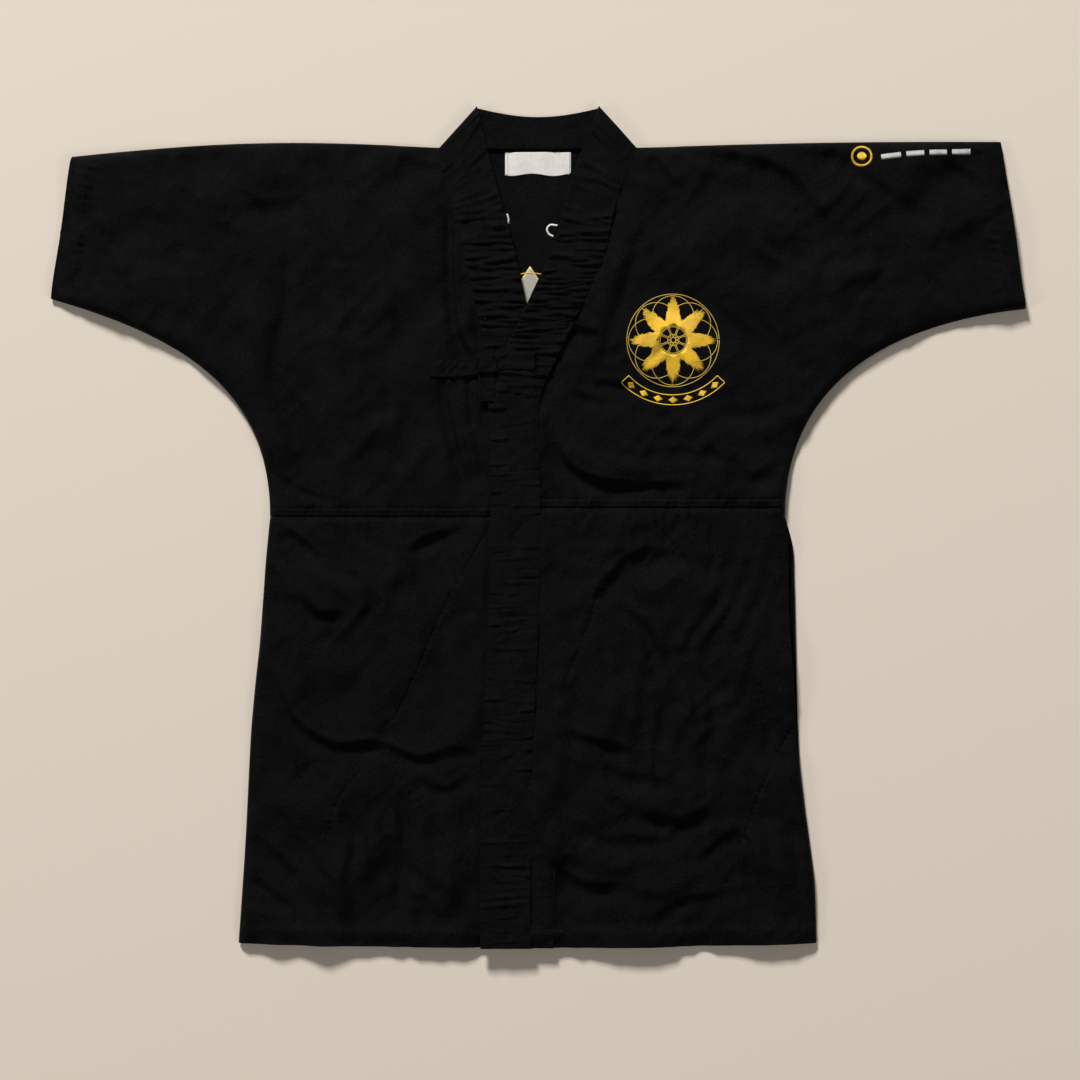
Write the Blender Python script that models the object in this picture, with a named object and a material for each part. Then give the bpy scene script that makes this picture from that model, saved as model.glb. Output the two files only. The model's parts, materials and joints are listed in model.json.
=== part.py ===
"""A short-sleeved martial arts jacket, laid flat on its back with the fronts wrapped over.

+X is the wearer's left, +Y points to the collar and +Z away from the floor. The origin is under
the middle of the jacket. The right front lies beneath and the left front wraps over it, with
a wide band sewn round the neck and down both front edges. The lower half of the left front, from
a slanting fold to the band's free edge, turns back over the jacket, and the right front's tie
strap turns back from its sewn end.
"""

import math
from collections import namedtuple

import bmesh
import bpy
from mathutils import Vector

# Overall sizes, in metres
TOTAL_LENGTH = 0.841      # collar corners to hem
SLEEVE_SPAN = 0.976       # cuff to cuff
COLLAR_RISE = 0.0405      # collar corners above the shoulder line
NECK_WIDTH = 0.197        # between the shoulder ends of the band
COLLAR_TOP_WIDTH = 0.124  # between the collar's two corners
COLLAR_DIP = 0.009        # the collar's top edge sinks between its corners
WAIST_WIDTH = 0.515
HEM_WIDTH = 0.578
HEM_SAG = 0.0045          # the hem's middle hangs lower than its corners
BODY_SHIFT = -0.0105      # the body is laid this far to the wearer's right of the neck
WAIST_TO_HEM = 0.431      # on the right front and the back
LEFT_WAIST_LIFT = 0.009   # the wrapped left front is laid this much higher
BAND_WIDTH = 0.051
V_DEPTH = 0.1575          # shoulder line to the foot of the V neck

# Cloth
CLOTH = 0.0010            # canvas
PLY = 0.0006              # one ply of a band's cover
GAP = 0.0003              # between pieces that touch
SLOT = CLOTH + 2 * GAP    # inside a band
LINING = 0.0006           # turned-in hems and pressed seam allowances
LOFT = 0.0080             # air between the back and the right front
TUCK = 0.008              # how far a panel's edge reaches into its band
BAND_EDGE = 0.002         # folded wall at a band's free edge

# Heights of the layers
BAND_THICK = SLOT + 2 * PLY
BACK_TOP = CLOTH
RIGHT_Z = BACK_TOP + LOFT
RIGHT_BAND_Z = RIGHT_Z - GAP - PLY
LEFT_BAND_Z = RIGHT_BAND_Z + BAND_THICK + GAP
LEFT_Z = LEFT_BAND_Z + PLY + GAP

# Seams and hems
SEAM_WIDTH = 0.010
CUFF_HEM = 0.025
BOTTOM_HEM = 0.020
WAIST_SEAM = 0.013

# The fold about which the left front turns back
FOLD_HEM_X = 0.117        # where the fold reaches the hem
FOLD_LIFT = 0.0032        # the hinge line above the left front's upper face
FOLD_GAP = 0.0006

# Ties
TIE_WIDTH = 0.015
TIE_THICK = 0.0015
KNOT_SIZE = 0.019
KNOT_THICK = 0.0032
TIE_DEPTH = 0.219         # shoulder line down to the tie
STRAP_LENGTH = 0.045
STRAP_ANCHOR = 0.009      # the end of the strap that is sewn down
STRAP_LIFT = 0.0004       # the strap's hinge line above its upper face
TAIL_DOWN = 0.027
TAIL_ACROSS = 0.035

# Label and needlework
LABEL_WIDTH = 0.066
LABEL_HEIGHT = 0.022
LABEL_DROP = 0.004
LABEL_THICK = 0.0005
STITCH_THICK = 0.0006
CHEST_EMBLEM_RADIUS = 0.047
CHEST_EMBLEM_CENTRE = (0.135, 0.187)     # x, and y above the middle of the jacket
BANNER_RADIUS = (0.060, 0.071)           # inner and outer, about the emblem's centre
BANNER_HALF_ANGLE = math.radians(47)
BANNER_DROP = -0.006
BACKING_RADIUS = 0.058                   # round the back emblem's stitches, inside the back
BACKING_CENTRE = (-0.008, 0.203)
SLEEVE_RING_RADIUS = 0.011
SLEEVE_RING_WALL = 0.003
SLEEVE_RING_INSET = 0.140                # from the cuff's upper corner
SLEEVE_RING_DROP = 0.015                 # below the shoulder edge

# Outlines
STEP = 0.014
HEM_Y = -TOTAL_LENGTH / 2
TOP_Y = TOTAL_LENGTH / 2
SHOULDER_Y = TOP_Y - COLLAR_RISE
WAIST_Y = HEM_Y + WAIST_TO_HEM
LEFT_WAIST_Y = WAIST_Y + LEFT_WAIST_LIFT
TIE_Y = SHOULDER_Y - TIE_DEPTH

# How each side lies. Drops are below the shoulder line, slant is how far the cuff's upper corner
# stands in from its lower one, arm_bend and side_bend shape the underarm curve as shares of its
# width and height, and flare gives shares of the skirt's length and of its widening.
Side = namedtuple("Side", "sign cuff_top_drop cuff_low_drop slant bow arm_bend side_bend flare")
RIGHT = Side(-1, 0.009, 0.1505, 0.021, 0.009, (0.627, 0.18), 0.57,
             ((0.10, 0.13), (0.29, 0.32), (0.48, 0.58), (0.76, 0.78)))
LEFT = Side(1, -0.006, 0.1605, 0.0245, 0.002, (0.573, 0.07), 0.64,
            ((0.07, 0.25), (0.44, 0.39), (0.60, 0.50), (0.86, 0.94)))

# Middle of each band. The neck part is in half neck widths and V depths below the shoulder line,
# the run below it in metres across and in shares of the way down to the hem.
LEFT_BAND_NECK = ((0.812, -0.127), (0.548, 0.314), (0.426, 0.657), (0.218, 0.93),
                  (0.112, 1.076), (-0.213, 1.527))
LEFT_BAND_RUN = ((-0.023, 0.08), (-0.022, 0.235), (-0.026, 0.49), (-0.032, 0.74), (-0.032, 1.03))
RIGHT_BAND_NECK = ((-0.832, -0.13), (-0.640, 0.333), (-0.510, 0.62), (-0.440, 0.82),
                   (-0.380, 0.994), (-0.312, 1.225))
RIGHT_BAND_RUN = ((-0.0255, 0.10), (-0.0195, 0.283), (-0.0150, 0.39), (-0.003, 0.47),
                  (0.003, 0.567), (-0.005, 0.775), (-0.010, 1.03))

COLOURS = {
    "canvas": ((0.010, 0.010, 0.011), 0.92),
    "tape": ((0.014, 0.014, 0.015), 0.90),
    "interlining": ((0.55, 0.53, 0.48), 0.95),
    "label_satin": ((0.82, 0.80, 0.76), 0.55),
    "yellow_thread": ((0.85, 0.55, 0.03), 0.60),
}


# Paths and outlines, as lists of 2D vectors

def smooth(points, step=STEP):
    """A Catmull-Rom curve through the points, with a point about every step."""
    points = [Vector(p) for p in points]
    ends = [2 * points[0] - points[1], *points, 2 * points[-1] - points[-2]]
    found = []
    for a, b, c, d in zip(ends, ends[1:], ends[2:], ends[3:]):
        count = max(1, round((c - b).length / step))
        for k in range(count):
            t = k / count
            found.append(0.5 * (2 * b + (c - a) * t + (2 * a - 5 * b + 4 * c - d) * t * t
                                + (3 * b - a - 3 * c + d) * t ** 3))
    return [*found, points[-1]]


def bezier(p0, p1, p2, p3, count):
    made = []
    for k in range(count + 1):
        t = k / count
        s = 1 - t
        made.append(s ** 3 * p0 + 3 * s * s * t * p1 + 3 * s * t * t * p2 + t ** 3 * p3)
    return made


def beside(path, distance):
    """The path moved to its left by distance, mitred at its corners."""
    moved = []
    for i, p in enumerate(path):
        before = (p - path[i - 1]).normalized() if i else None
        after = (path[i + 1] - p).normalized() if i + 1 < len(path) else None
        before, after = before or after, after or before
        along = (before + after).normalized()
        moved.append(p + Vector((-along.y, along.x)) * distance / along.dot(before))
    return moved


def ribbon(path, near, far):
    """The closed strip between two distances to the left of a path."""
    return beside(path, near) + beside(path, far)[::-1]


def clip(outline, point, normal, gap=0.0):
    """The part of a closed outline that lies more than gap to the normal's side of a line."""
    point, normal = Vector(point), Vector(normal).normalized()
    kept = []
    for a, b in zip(outline, outline[1:] + outline[:1]):
        da, db = (a - point).dot(normal) - gap, (b - point).dot(normal) - gap
        if da >= 0:
            kept.append(a)
        if da * db < 0:
            kept.append(a.lerp(b, da / (da - db)))
    return kept


def above(outline, y, gap=0.0):
    return clip(outline, (0, y), (0, 1), gap)


def below(outline, y, gap=0.0):
    return clip(outline, (0, y), (0, -1), gap)


def circle(centre, radius, count):
    turn = 2 * math.pi / count
    return [Vector(centre) + radius * Vector((math.cos(k * turn), math.sin(k * turn)))
            for k in range(count)]


def crossing(path, y):
    """The point where a path that runs down crosses a height."""
    for a, b in zip(path, path[1:]):
        if a.y >= y > b.y:
            return a.lerp(b, (a.y - y) / (a.y - b.y))
    raise ValueError("the path doesn't reach that height")


# The jacket's edges

def neck_point(side):
    return Vector((side.sign * NECK_WIDTH / 2, SHOULDER_Y))


def collar_corner(side):
    return Vector((side.sign * COLLAR_TOP_WIDTH / 2, TOP_Y))


def cuff_top(side):
    return Vector((side.sign * (SLEEVE_SPAN / 2 - side.slant), SHOULDER_Y - side.cuff_top_drop))


def cuff_low(side):
    return Vector((side.sign * SLEEVE_SPAN / 2, SHOULDER_Y - side.cuff_low_drop))


def waist_point(side):
    return Vector((BODY_SHIFT + side.sign * WAIST_WIDTH / 2, WAIST_Y))


def hem_y(x):
    return HEM_Y + HEM_SAG * ((x - BODY_SHIFT) / (HEM_WIDTH / 2)) ** 2


def shoulder_edge(side):
    """From the neck to the cuff, a little bowed."""
    a, b = neck_point(side), cuff_top(side)
    return [a.lerp(b, t) + Vector((0, side.bow * math.sin(math.pi * t)))
            for t in (k / 8 for k in range(9))]


def underarm_edge(side):
    """From the cuff to the waist."""
    a, b = cuff_low(side), waist_point(side)
    bend, drop = side.arm_bend
    first = Vector((a.x + bend * (b.x - a.x), a.y + drop * (b.y - a.y)))
    second = Vector((b.x, b.y + side.side_bend * (a.y - b.y)))
    return bezier(a, first, second, b, 22)


def skirt_edge(side):
    """From the waist to the hem."""
    a = waist_point(side)
    x = BODY_SHIFT + side.sign * HEM_WIDTH / 2
    b = Vector((x, hem_y(x)))
    between = [Vector((a.x + wide * (b.x - a.x), a.y + down * (b.y - a.y)))
               for down, wide in side.flare]
    return smooth([a, *between, b], 3 * STEP)


def side_edge(side):
    """From the neck round the sleeve and down to the hem."""
    return shoulder_edge(side) + underarm_edge(side) + skirt_edge(side)[1:]


def hem_edge(from_x, to_x):
    count = max(2, round(abs(to_x - from_x) / (3 * STEP)))
    xs = [from_x + (to_x - from_x) * k / count for k in range(count + 1)]
    return [Vector((x, hem_y(x))) for x in xs]


def band_path(neck, run):
    """The middle of a band, from past the collar's corner to past the hem."""
    high = [Vector((x * NECK_WIDTH / 2, SHOULDER_Y - deep * V_DEPTH)) for x, deep in neck]
    start = high[-1].y
    low = [Vector((x, start + down * (HEM_Y - start))) for x, down in run]
    past_corner = high[0] + (high[0] - high[1]).normalized() * 2 * COLLAR_RISE
    return smooth([past_corner, *high, *low])


RIGHT_BAND_PATH = band_path(RIGHT_BAND_NECK, RIGHT_BAND_RUN)
LEFT_BAND_PATH = band_path(LEFT_BAND_NECK, LEFT_BAND_RUN)

# The paths run down, so the wearer's left is to their left.
LEFT_FREE_EDGE = beside(LEFT_BAND_PATH, -BAND_WIDTH / 2)
FOLD_TOP = crossing(LEFT_FREE_EDGE, SHOULDER_Y - V_DEPTH)
FOLD_FOOT = Vector((FOLD_HEM_X, HEM_Y))
FOLD_NORMAL = Vector((FOLD_TOP.y - FOLD_FOOT.y, FOLD_FOOT.x - FOLD_TOP.x)).normalized()


def fixed_part(outline):
    """What stays when the left front turns back."""
    return clip(outline, FOLD_TOP, FOLD_NORMAL, FOLD_GAP / 2)


def turning_part(outline):
    return clip(outline, FOLD_TOP, -FOLD_NORMAL, FOLD_GAP / 2)


def band_outline(path, side, near, far):
    """A strip of a band, cut off at the shoulder fold and at the hem."""
    a, b = neck_point(side), collar_corner(side)
    slope = b - a
    inward = Vector((slope.y, -slope.x)) * (1 if side.sign < 0 else -1)
    strip = ribbon(path, near, far)
    return above(clip(strip, a, inward), HEM_Y)


def down_to_hem(path):
    """The stretch of a path from the shoulder line to the hem."""
    between = [p for p in path if hem_y(p.x) + STEP / 2 < p.y < SHOULDER_Y - STEP / 2]
    foot = crossing(path, HEM_Y)
    return [crossing(path, SHOULDER_Y), *between, Vector((foot.x, hem_y(foot.x)))]


def front_outline(side, band_offset):
    """A front from its band's offset line out to the side edge."""
    path = RIGHT_BAND_PATH if side.sign < 0 else LEFT_BAND_PATH
    inner = down_to_hem(beside(path, band_offset))
    corner = skirt_edge(side)[-1]
    foot = hem_edge(inner[-1].x, corner.x)
    return inner + foot[1:] + side_edge(side)[::-1][1:-1]


# Making solids

def material(name, finish):
    colour, roughness = COLOURS[finish]
    made = bpy.data.materials.new(name)
    made.use_nodes = True
    shader = made.node_tree.nodes["Principled BSDF"]
    shader.inputs["Base Color"].default_value = (*colour, 1.0)
    shader.inputs["Roughness"].default_value = roughness
    shader.inputs["Metallic"].default_value = 0.0
    return made


def plate(name, outline, low, thick, finish="canvas", collection=None):
    """A flat outline, thick metres tall from the height low."""
    curve = bpy.data.curves.new(name, "CURVE")
    curve.dimensions = "2D"
    curve.fill_mode = "BOTH"
    curve.extrude = thick / 2
    line = curve.splines.new("POLY")
    line.points.add(len(outline) - 1)
    for point, p in zip(line.points, outline):
        point.co = (p.x, p.y, 0, 1)
    line.use_cyclic_u = True
    made = bpy.data.objects.new(name, curve)
    made.location.z = low + thick / 2
    made.data.materials.append(material(name, finish))
    (collection or JACKET).objects.link(made)
    return made


def meshed(flat):
    """The same plate as a welded mesh, which a Boolean can cut."""
    bpy.context.view_layer.update()
    graph = bpy.context.evaluated_depsgraph_get()
    mesh = bpy.data.meshes.new_from_object(flat.evaluated_get(graph))
    work = bmesh.new()
    work.from_mesh(mesh)
    bmesh.ops.remove_doubles(work, verts=work.verts, dist=1e-5)
    bmesh.ops.recalc_face_normals(work, faces=work.faces)
    work.to_mesh(mesh)
    work.free()
    name, place, home = flat.name, flat.matrix_world.copy(), flat.users_collection[0]
    bpy.data.objects.remove(flat)
    made = bpy.data.objects.new(name, mesh)
    made.matrix_world = place
    home.objects.link(made)
    return made


def cut(solid, cutter):
    tool = solid.modifiers.new("cut", "BOOLEAN")
    tool.operation = "DIFFERENCE"
    tool.object = cutter
    cutter.hide_render = True
    cutter.display_type = "WIRE"


def cutter(name, outline, low, thick):
    return meshed(plate(name, outline, low, thick, collection=CUTTERS))


def pivot(name, place, along, pieces):
    """An empty on a hinge line, its X along the line, with the pieces that turn about it."""
    made = bpy.data.objects.new(name, None)
    made.location = place
    made.rotation_euler.z = math.atan2(along[1], along[0])
    JACKET.objects.link(made)
    bpy.context.view_layer.update()
    for piece in pieces:
        turning = bpy.data.objects[piece]
        turning.parent = made
        turning.matrix_parent_inverse = made.matrix_world.inverted()


# The jacket's pieces

def back():
    """Upper back with the sleeves' back halves, and the skirt's back."""
    outline = side_edge(LEFT)
    outline += hem_edge(outline[-1].x, skirt_edge(RIGHT)[-1].x)[1:-1]
    outline += side_edge(RIGHT)[::-1]
    plate("back_upper", above(outline, WAIST_Y, GAP / 2), 0, CLOTH)
    plate("back_skirt", below(outline, WAIST_Y, GAP / 2), 0, CLOTH)
    backing = circle(BACKING_CENTRE, BACKING_RADIUS, 48)
    plate("back_emblem_backing", backing, BACK_TOP + GAP, STITCH_THICK, "interlining")


def fronts():
    """Each front is cut at the waist, and the left one at its fold as well."""
    reach = BAND_WIDTH / 2 - TUCK
    right = front_outline(RIGHT, -reach)
    plate("right_front_upper", above(right, WAIST_Y, GAP / 2), RIGHT_Z, CLOTH)
    plate("right_front_skirt", below(right, WAIST_Y, GAP / 2), RIGHT_Z, CLOTH)
    left = front_outline(LEFT, reach)
    upper, skirt = above(left, LEFT_WAIST_Y, GAP / 2), below(left, LEFT_WAIST_Y, GAP / 2)
    plate("left_front_upper", fixed_part(upper), LEFT_Z, CLOTH)
    plate("left_front_skirt", fixed_part(skirt), LEFT_Z, CLOTH)
    plate("left_lapel_upper", turning_part(upper), LEFT_Z, CLOTH)
    plate("left_lapel_skirt", turning_part(skirt), LEFT_Z, CLOTH)


def band(name, path, side, low, keep=None):
    """A folded cover, open along its seam, and the interlining inside it."""
    keep = keep or (lambda outline: outline)
    free, seam = -side.sign * BAND_WIDTH / 2, side.sign * BAND_WIDTH / 2
    near_free = free + side.sign * BAND_EDGE
    cover = meshed(plate(name, keep(band_outline(path, side, free, seam)), low, BAND_THICK))
    slot = ribbon(path, near_free, seam + side.sign * CLOTH)
    cut(cover, cutter(name + "_slot", slot, low + PLY, SLOT))
    core = band_outline(path, side, near_free + side.sign * GAP,
                        seam - side.sign * (TUCK + GAP))
    plate(name + "_core", keep(core), low + PLY + GAP, SLOT - 2 * GAP, "interlining")


def collar_back():
    """The band behind the neck, folded at its top edge and open at the neck seam."""
    right, left = collar_corner(RIGHT), collar_corner(LEFT)
    top = [right.lerp(left, t) - Vector((0, COLLAR_DIP * math.sin(math.pi * t)))
           for t in (k / 10 for k in range(11))]
    foot_y = SHOULDER_Y + GAP
    foot = [Vector((side.sign * NECK_WIDTH / 2, foot_y)) for side in (LEFT, RIGHT)]
    cover = meshed(plate("collar_back", top + foot, 0, BAND_THICK))
    inner_top = [p - Vector((0, BAND_EDGE)) for p in top[1:-1]]
    low_y = foot_y - BAND_EDGE
    slot = inner_top + [Vector((p.x, low_y)) for p in (inner_top[-1], inner_top[0])]
    cut(cover, cutter("collar_back_slot", slot, PLY, SLOT))
    core = [p - Vector((0, GAP)) for p in inner_top]
    core = [p for p in core if abs(p.x) < abs(inner_top[0].x) - GAP]
    core += [Vector((p.x, foot_y)) for p in (core[-1], core[0])]
    plate("collar_back_core", core, PLY + GAP, SLOT - 2 * GAP, "interlining")


def bands():
    collar_back()
    band("right_band", RIGHT_BAND_PATH, RIGHT, RIGHT_BAND_Z)
    band("left_band_neck", LEFT_BAND_PATH, LEFT, LEFT_BAND_Z, fixed_part)
    band("left_band", LEFT_BAND_PATH, LEFT, LEFT_BAND_Z, turning_part)


def inner_foot(side):
    return RIGHT_Z if side.sign < 0 else LEFT_Z


def side_name(side):
    return "right" if side.sign < 0 else "left"


def side_seams(side):
    """Seam allowances that join the front to the back, and the tape in the shoulder fold."""
    name, top = side_name(side), inner_foot(side) - GAP
    low = BACK_TOP + GAP
    turn = side.sign
    arm = ribbon(underarm_edge(side), 0, -turn * SEAM_WIDTH)
    plate(name + "_side_seam", above(arm, WAIST_Y, GAP), low, top - low, "tape")
    skirt = ribbon(skirt_edge(side), 0, -turn * SEAM_WIDTH)
    plate(name + "_skirt_seam", below(skirt, WAIST_Y, GAP), low, top - low, "tape")
    path = [collar_corner(side), *shoulder_edge(side)]
    low = BAND_THICK + GAP
    top = (RIGHT_BAND_Z if side.sign < 0 else LEFT_BAND_Z) - GAP
    shoulder = ribbon(path, 0, -turn * SEAM_WIDTH)
    plate(name + "_shoulder_tape", shoulder, low, top - low, "tape")


def cuff_hems(side):
    """The turned-in hems at a sleeve's mouth, front and back."""
    name = side_name(side)
    a, b = cuff_top(side), cuff_low(side)
    along = (b - a).normalized()
    clear = SEAM_WIDTH + CLOTH
    line = [a + along * clear * 1.6, b - along * clear * 1.6]
    strip = ribbon(line, 0, -side.sign * CUFF_HEM)
    strip = clip(strip, underarm_edge(side)[4], (-side.sign * 0.35, 1), clear)
    plate(name + "_cuff_hem_back", strip, BACK_TOP + GAP, LINING)
    plate(name + "_cuff_hem_front", strip, inner_foot(side) - GAP - LINING, LINING)


def cross_strip(side_from, side_to, low_y, height):
    """A level strip from one edge's x to another's."""
    return [Vector((side_from, low_y)), Vector((side_to, low_y)),
            Vector((side_to, low_y + height)), Vector((side_from, low_y + height))]


def seam_reach(side, y):
    """How far in a side seam reaches at a height."""
    edge = underarm_edge(side) + skirt_edge(side)[1:]
    return crossing(edge, y).x - side.sign * (SEAM_WIDTH + 4 * CLOTH)


def band_seams(path, offset, low, height):
    """Where a band's seam crosses a level strip's lower and upper edge."""
    return [crossing(beside(path, offset), y).x for y in (low, low + height)]


def waist_seams():
    """The pressed allowances inside the waist seams, which stop short of the bands."""
    back_y = WAIST_Y + GAP
    reach = [seam_reach(side, back_y + WAIST_SEAM) for side in (RIGHT, LEFT)]
    strip = cross_strip(*reach, back_y, WAIST_SEAM)
    plate("back_waist_seam", strip, BACK_TOP + GAP, LINING)
    seam = min(band_seams(RIGHT_BAND_PATH, -BAND_WIDTH / 2, WAIST_Y, WAIST_SEAM))
    strip = cross_strip(reach[0], seam - 2 * CLOTH, back_y, WAIST_SEAM)
    plate("right_waist_seam", strip, RIGHT_Z - GAP - LINING, LINING)
    seam = max(band_seams(LEFT_BAND_PATH, BAND_WIDTH / 2, LEFT_WAIST_Y, WAIST_SEAM))
    strip = cross_strip(seam + 2 * CLOTH, reach[1], LEFT_WAIST_Y + GAP, WAIST_SEAM)
    low = LEFT_Z - GAP - LINING
    plate("left_waist_seam", fixed_part(strip), low, LINING)
    plate("left_lapel_waist_seam", turning_part(strip), low, LINING)


def hem_strip(from_x, to_x):
    low = [p + Vector((0, GAP)) for p in hem_edge(from_x, to_x)]
    return low + [p + Vector((0, BOTTOM_HEM)) for p in low[::-1]]


def bottom_hems():
    """The turned-in hems along the skirt."""
    reach = [seam_reach(side, hem_y(0) + 2 * BOTTOM_HEM) for side in (RIGHT, LEFT)]
    plate("back_hem", hem_strip(*reach), BACK_TOP + GAP, LINING)
    foot_y = HEM_Y + BOTTOM_HEM
    seam = crossing(beside(RIGHT_BAND_PATH, -BAND_WIDTH / 2), foot_y).x
    strip = hem_strip(reach[0], seam - 2 * CLOTH)
    plate("right_hem", strip, RIGHT_Z - GAP - LINING, LINING)
    seam = crossing(beside(LEFT_BAND_PATH, BAND_WIDTH / 2), foot_y).x
    strip = hem_strip(seam + 2 * CLOTH, reach[1])
    low = LEFT_Z - GAP - LINING
    plate("left_hem", fixed_part(strip), low, LINING)
    plate("left_lapel_hem", turning_part(strip), low, LINING)


def ties():
    """The right front's strap, and the knot and two loose ends on the left band."""
    y = TIE_Y
    edge = crossing(LEFT_FREE_EDGE, y).x
    band_top = LEFT_BAND_Z + BAND_THICK + GAP
    strap_end = edge - KNOT_SIZE
    sewn_end = strap_end - STRAP_LENGTH + STRAP_ANCHOR
    low, low_y = RIGHT_Z + CLOTH + GAP, y - TIE_WIDTH / 2
    anchor = cross_strip(strap_end - STRAP_LENGTH, sewn_end, low_y, TIE_WIDTH)
    plate("right_tie_anchor", anchor, low, TIE_THICK)
    strap = cross_strip(sewn_end + FOLD_GAP, strap_end, low_y, TIE_WIDTH)
    plate("right_tie_strap", strap, low, TIE_THICK)
    middle = (edge - KNOT_SIZE * 0.15, y + TIE_WIDTH * 0.15)
    knot = circle(middle, KNOT_SIZE / 2, 16)
    plate("tie_knot", knot, band_top, KNOT_THICK)
    foot = middle[1] - KNOT_SIZE / 2 - GAP
    tail = cross_strip(edge - TIE_WIDTH - CLOTH, edge - CLOTH, foot - TAIL_DOWN, TAIL_DOWN)
    plate("tie_end_down", tail, band_top, TIE_THICK)
    start = middle[0] + KNOT_SIZE / 2 + CLOTH
    tail = cross_strip(start, start + TAIL_ACROSS, y - TIE_WIDTH / 4, TIE_WIDTH)
    plate("tie_end_across", turning_part(tail), band_top, TIE_THICK)


def label():
    low_y = SHOULDER_Y - LABEL_DROP - LABEL_HEIGHT
    outline = cross_strip(-LABEL_WIDTH / 2, LABEL_WIDTH / 2, low_y, LABEL_HEIGHT)
    plate("neck_label", outline, BACK_TOP + GAP, LABEL_THICK, "label_satin")


def needlework():
    """A rayed badge over an arched banner on the chest, and a ring on the sleeve."""
    top = LEFT_Z + CLOTH + GAP
    centre = Vector(CHEST_EMBLEM_CENTRE)
    rays = []
    for k in range(48):
        turn = 2 * math.pi * k / 48
        reach = CHEST_EMBLEM_RADIUS * (0.86 + 0.14 * math.cos(8 * turn))
        rays.append(centre + reach * Vector((math.cos(turn), math.sin(turn))))
    plate("chest_emblem", rays, top, STITCH_THICK, "yellow_thread")
    inner, outer = BANNER_RADIUS
    middle = centre - Vector((0, BANNER_DROP))
    turns = [-math.pi / 2 + BANNER_HALF_ANGLE * (k / 8 - 1) for k in range(17)]
    arc = [Vector((math.cos(turn), math.sin(turn))) for turn in turns]
    banner = [middle + inner * p for p in arc] + [middle + outer * p for p in arc[::-1]]
    plate("chest_banner", banner, top, STITCH_THICK, "yellow_thread")
    ring_middle = cuff_top(LEFT) - Vector((SLEEVE_RING_INSET, SLEEVE_RING_DROP))
    ring = meshed(plate("sleeve_ring", circle(ring_middle, SLEEVE_RING_RADIUS, 24), top,
                        STITCH_THICK, "yellow_thread"))
    hole = circle(ring_middle, SLEEVE_RING_RADIUS - SLEEVE_RING_WALL, 24)
    cut(ring, cutter("sleeve_ring_hole", hole, top - CLOTH, 3 * CLOTH))


def hinges():
    """The left front turns back about its slanting fold, the tie strap about its sewn end."""
    pivot("left_lapel_fold", (*FOLD_TOP, LEFT_Z + CLOTH + FOLD_LIFT), FOLD_TOP - FOLD_FOOT,
          ("left_lapel_upper", "left_lapel_skirt", "left_lapel_waist_seam", "left_lapel_hem",
           "left_band", "left_band_core", "tie_knot", "tie_end_down", "tie_end_across"))
    sewn_end = crossing(LEFT_FREE_EDGE, TIE_Y).x - KNOT_SIZE - STRAP_LENGTH + STRAP_ANCHOR
    top = RIGHT_Z + CLOTH + GAP + TIE_THICK
    pivot("tie_strap_fold", (sewn_end + FOLD_GAP / 2, TIE_Y, top + STRAP_LIFT), (0, -1),
          ("right_tie_strap",))


def clear_scene():
    for old in list(bpy.data.objects):
        bpy.data.objects.remove(old, do_unlink=True)


def collection(name):
    made = bpy.data.collections.new(name)
    bpy.context.scene.collection.children.link(made)
    return made


clear_scene()
JACKET = collection("martial_arts_jacket")
CUTTERS = collection("cutters")
back()
fronts()
bands()
for one_side in (RIGHT, LEFT):
    side_seams(one_side)
    cuff_hems(one_side)
waist_seams()
bottom_hems()
ties()
label()
needlework()
hinges()
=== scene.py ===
"""The looks of a martial arts jacket that lies flat on a pale floor, seen from straight above.

Every outline is read from the fixed model. Each panel is cut from one sheet of canvas, laid over
what is beneath it and creased by named folds, the bands are gathered strips of doubled canvas, and
seams, hems, quilting and needlework are sewn on as stitches.
"""

import json
import math
from collections import namedtuple

import bmesh
import bpy
import numpy as np
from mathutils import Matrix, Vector, geometry
from mathutils.bvhtree import BVHTree


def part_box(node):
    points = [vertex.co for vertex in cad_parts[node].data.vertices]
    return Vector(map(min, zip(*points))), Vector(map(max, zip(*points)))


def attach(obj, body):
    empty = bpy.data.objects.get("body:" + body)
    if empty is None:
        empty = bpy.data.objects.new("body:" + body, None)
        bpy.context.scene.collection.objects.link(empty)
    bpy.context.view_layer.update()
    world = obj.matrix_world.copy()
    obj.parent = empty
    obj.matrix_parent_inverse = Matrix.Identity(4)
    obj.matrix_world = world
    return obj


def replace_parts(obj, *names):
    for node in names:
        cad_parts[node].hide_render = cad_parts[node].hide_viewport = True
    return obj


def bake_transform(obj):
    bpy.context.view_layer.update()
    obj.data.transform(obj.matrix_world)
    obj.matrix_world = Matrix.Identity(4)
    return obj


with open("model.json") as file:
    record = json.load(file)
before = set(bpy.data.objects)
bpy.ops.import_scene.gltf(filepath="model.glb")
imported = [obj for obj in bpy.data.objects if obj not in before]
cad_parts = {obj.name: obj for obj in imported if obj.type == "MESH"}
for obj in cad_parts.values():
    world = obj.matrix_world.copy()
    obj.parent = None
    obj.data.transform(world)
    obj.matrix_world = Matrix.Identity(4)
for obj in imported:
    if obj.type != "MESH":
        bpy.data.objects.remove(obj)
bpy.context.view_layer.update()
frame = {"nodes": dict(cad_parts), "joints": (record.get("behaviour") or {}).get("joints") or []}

bl_info = {
    "name": "Martial Arts Jacket",
    "version": (1, 0, 0),
    "blender": (4, 5, 0),
    "location": "View3D > Sidebar > Jacket",
    "description": "Sews a wrap-front canvas jacket over its fixed model and lights it",
    "category": "Add Mesh",
}

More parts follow.
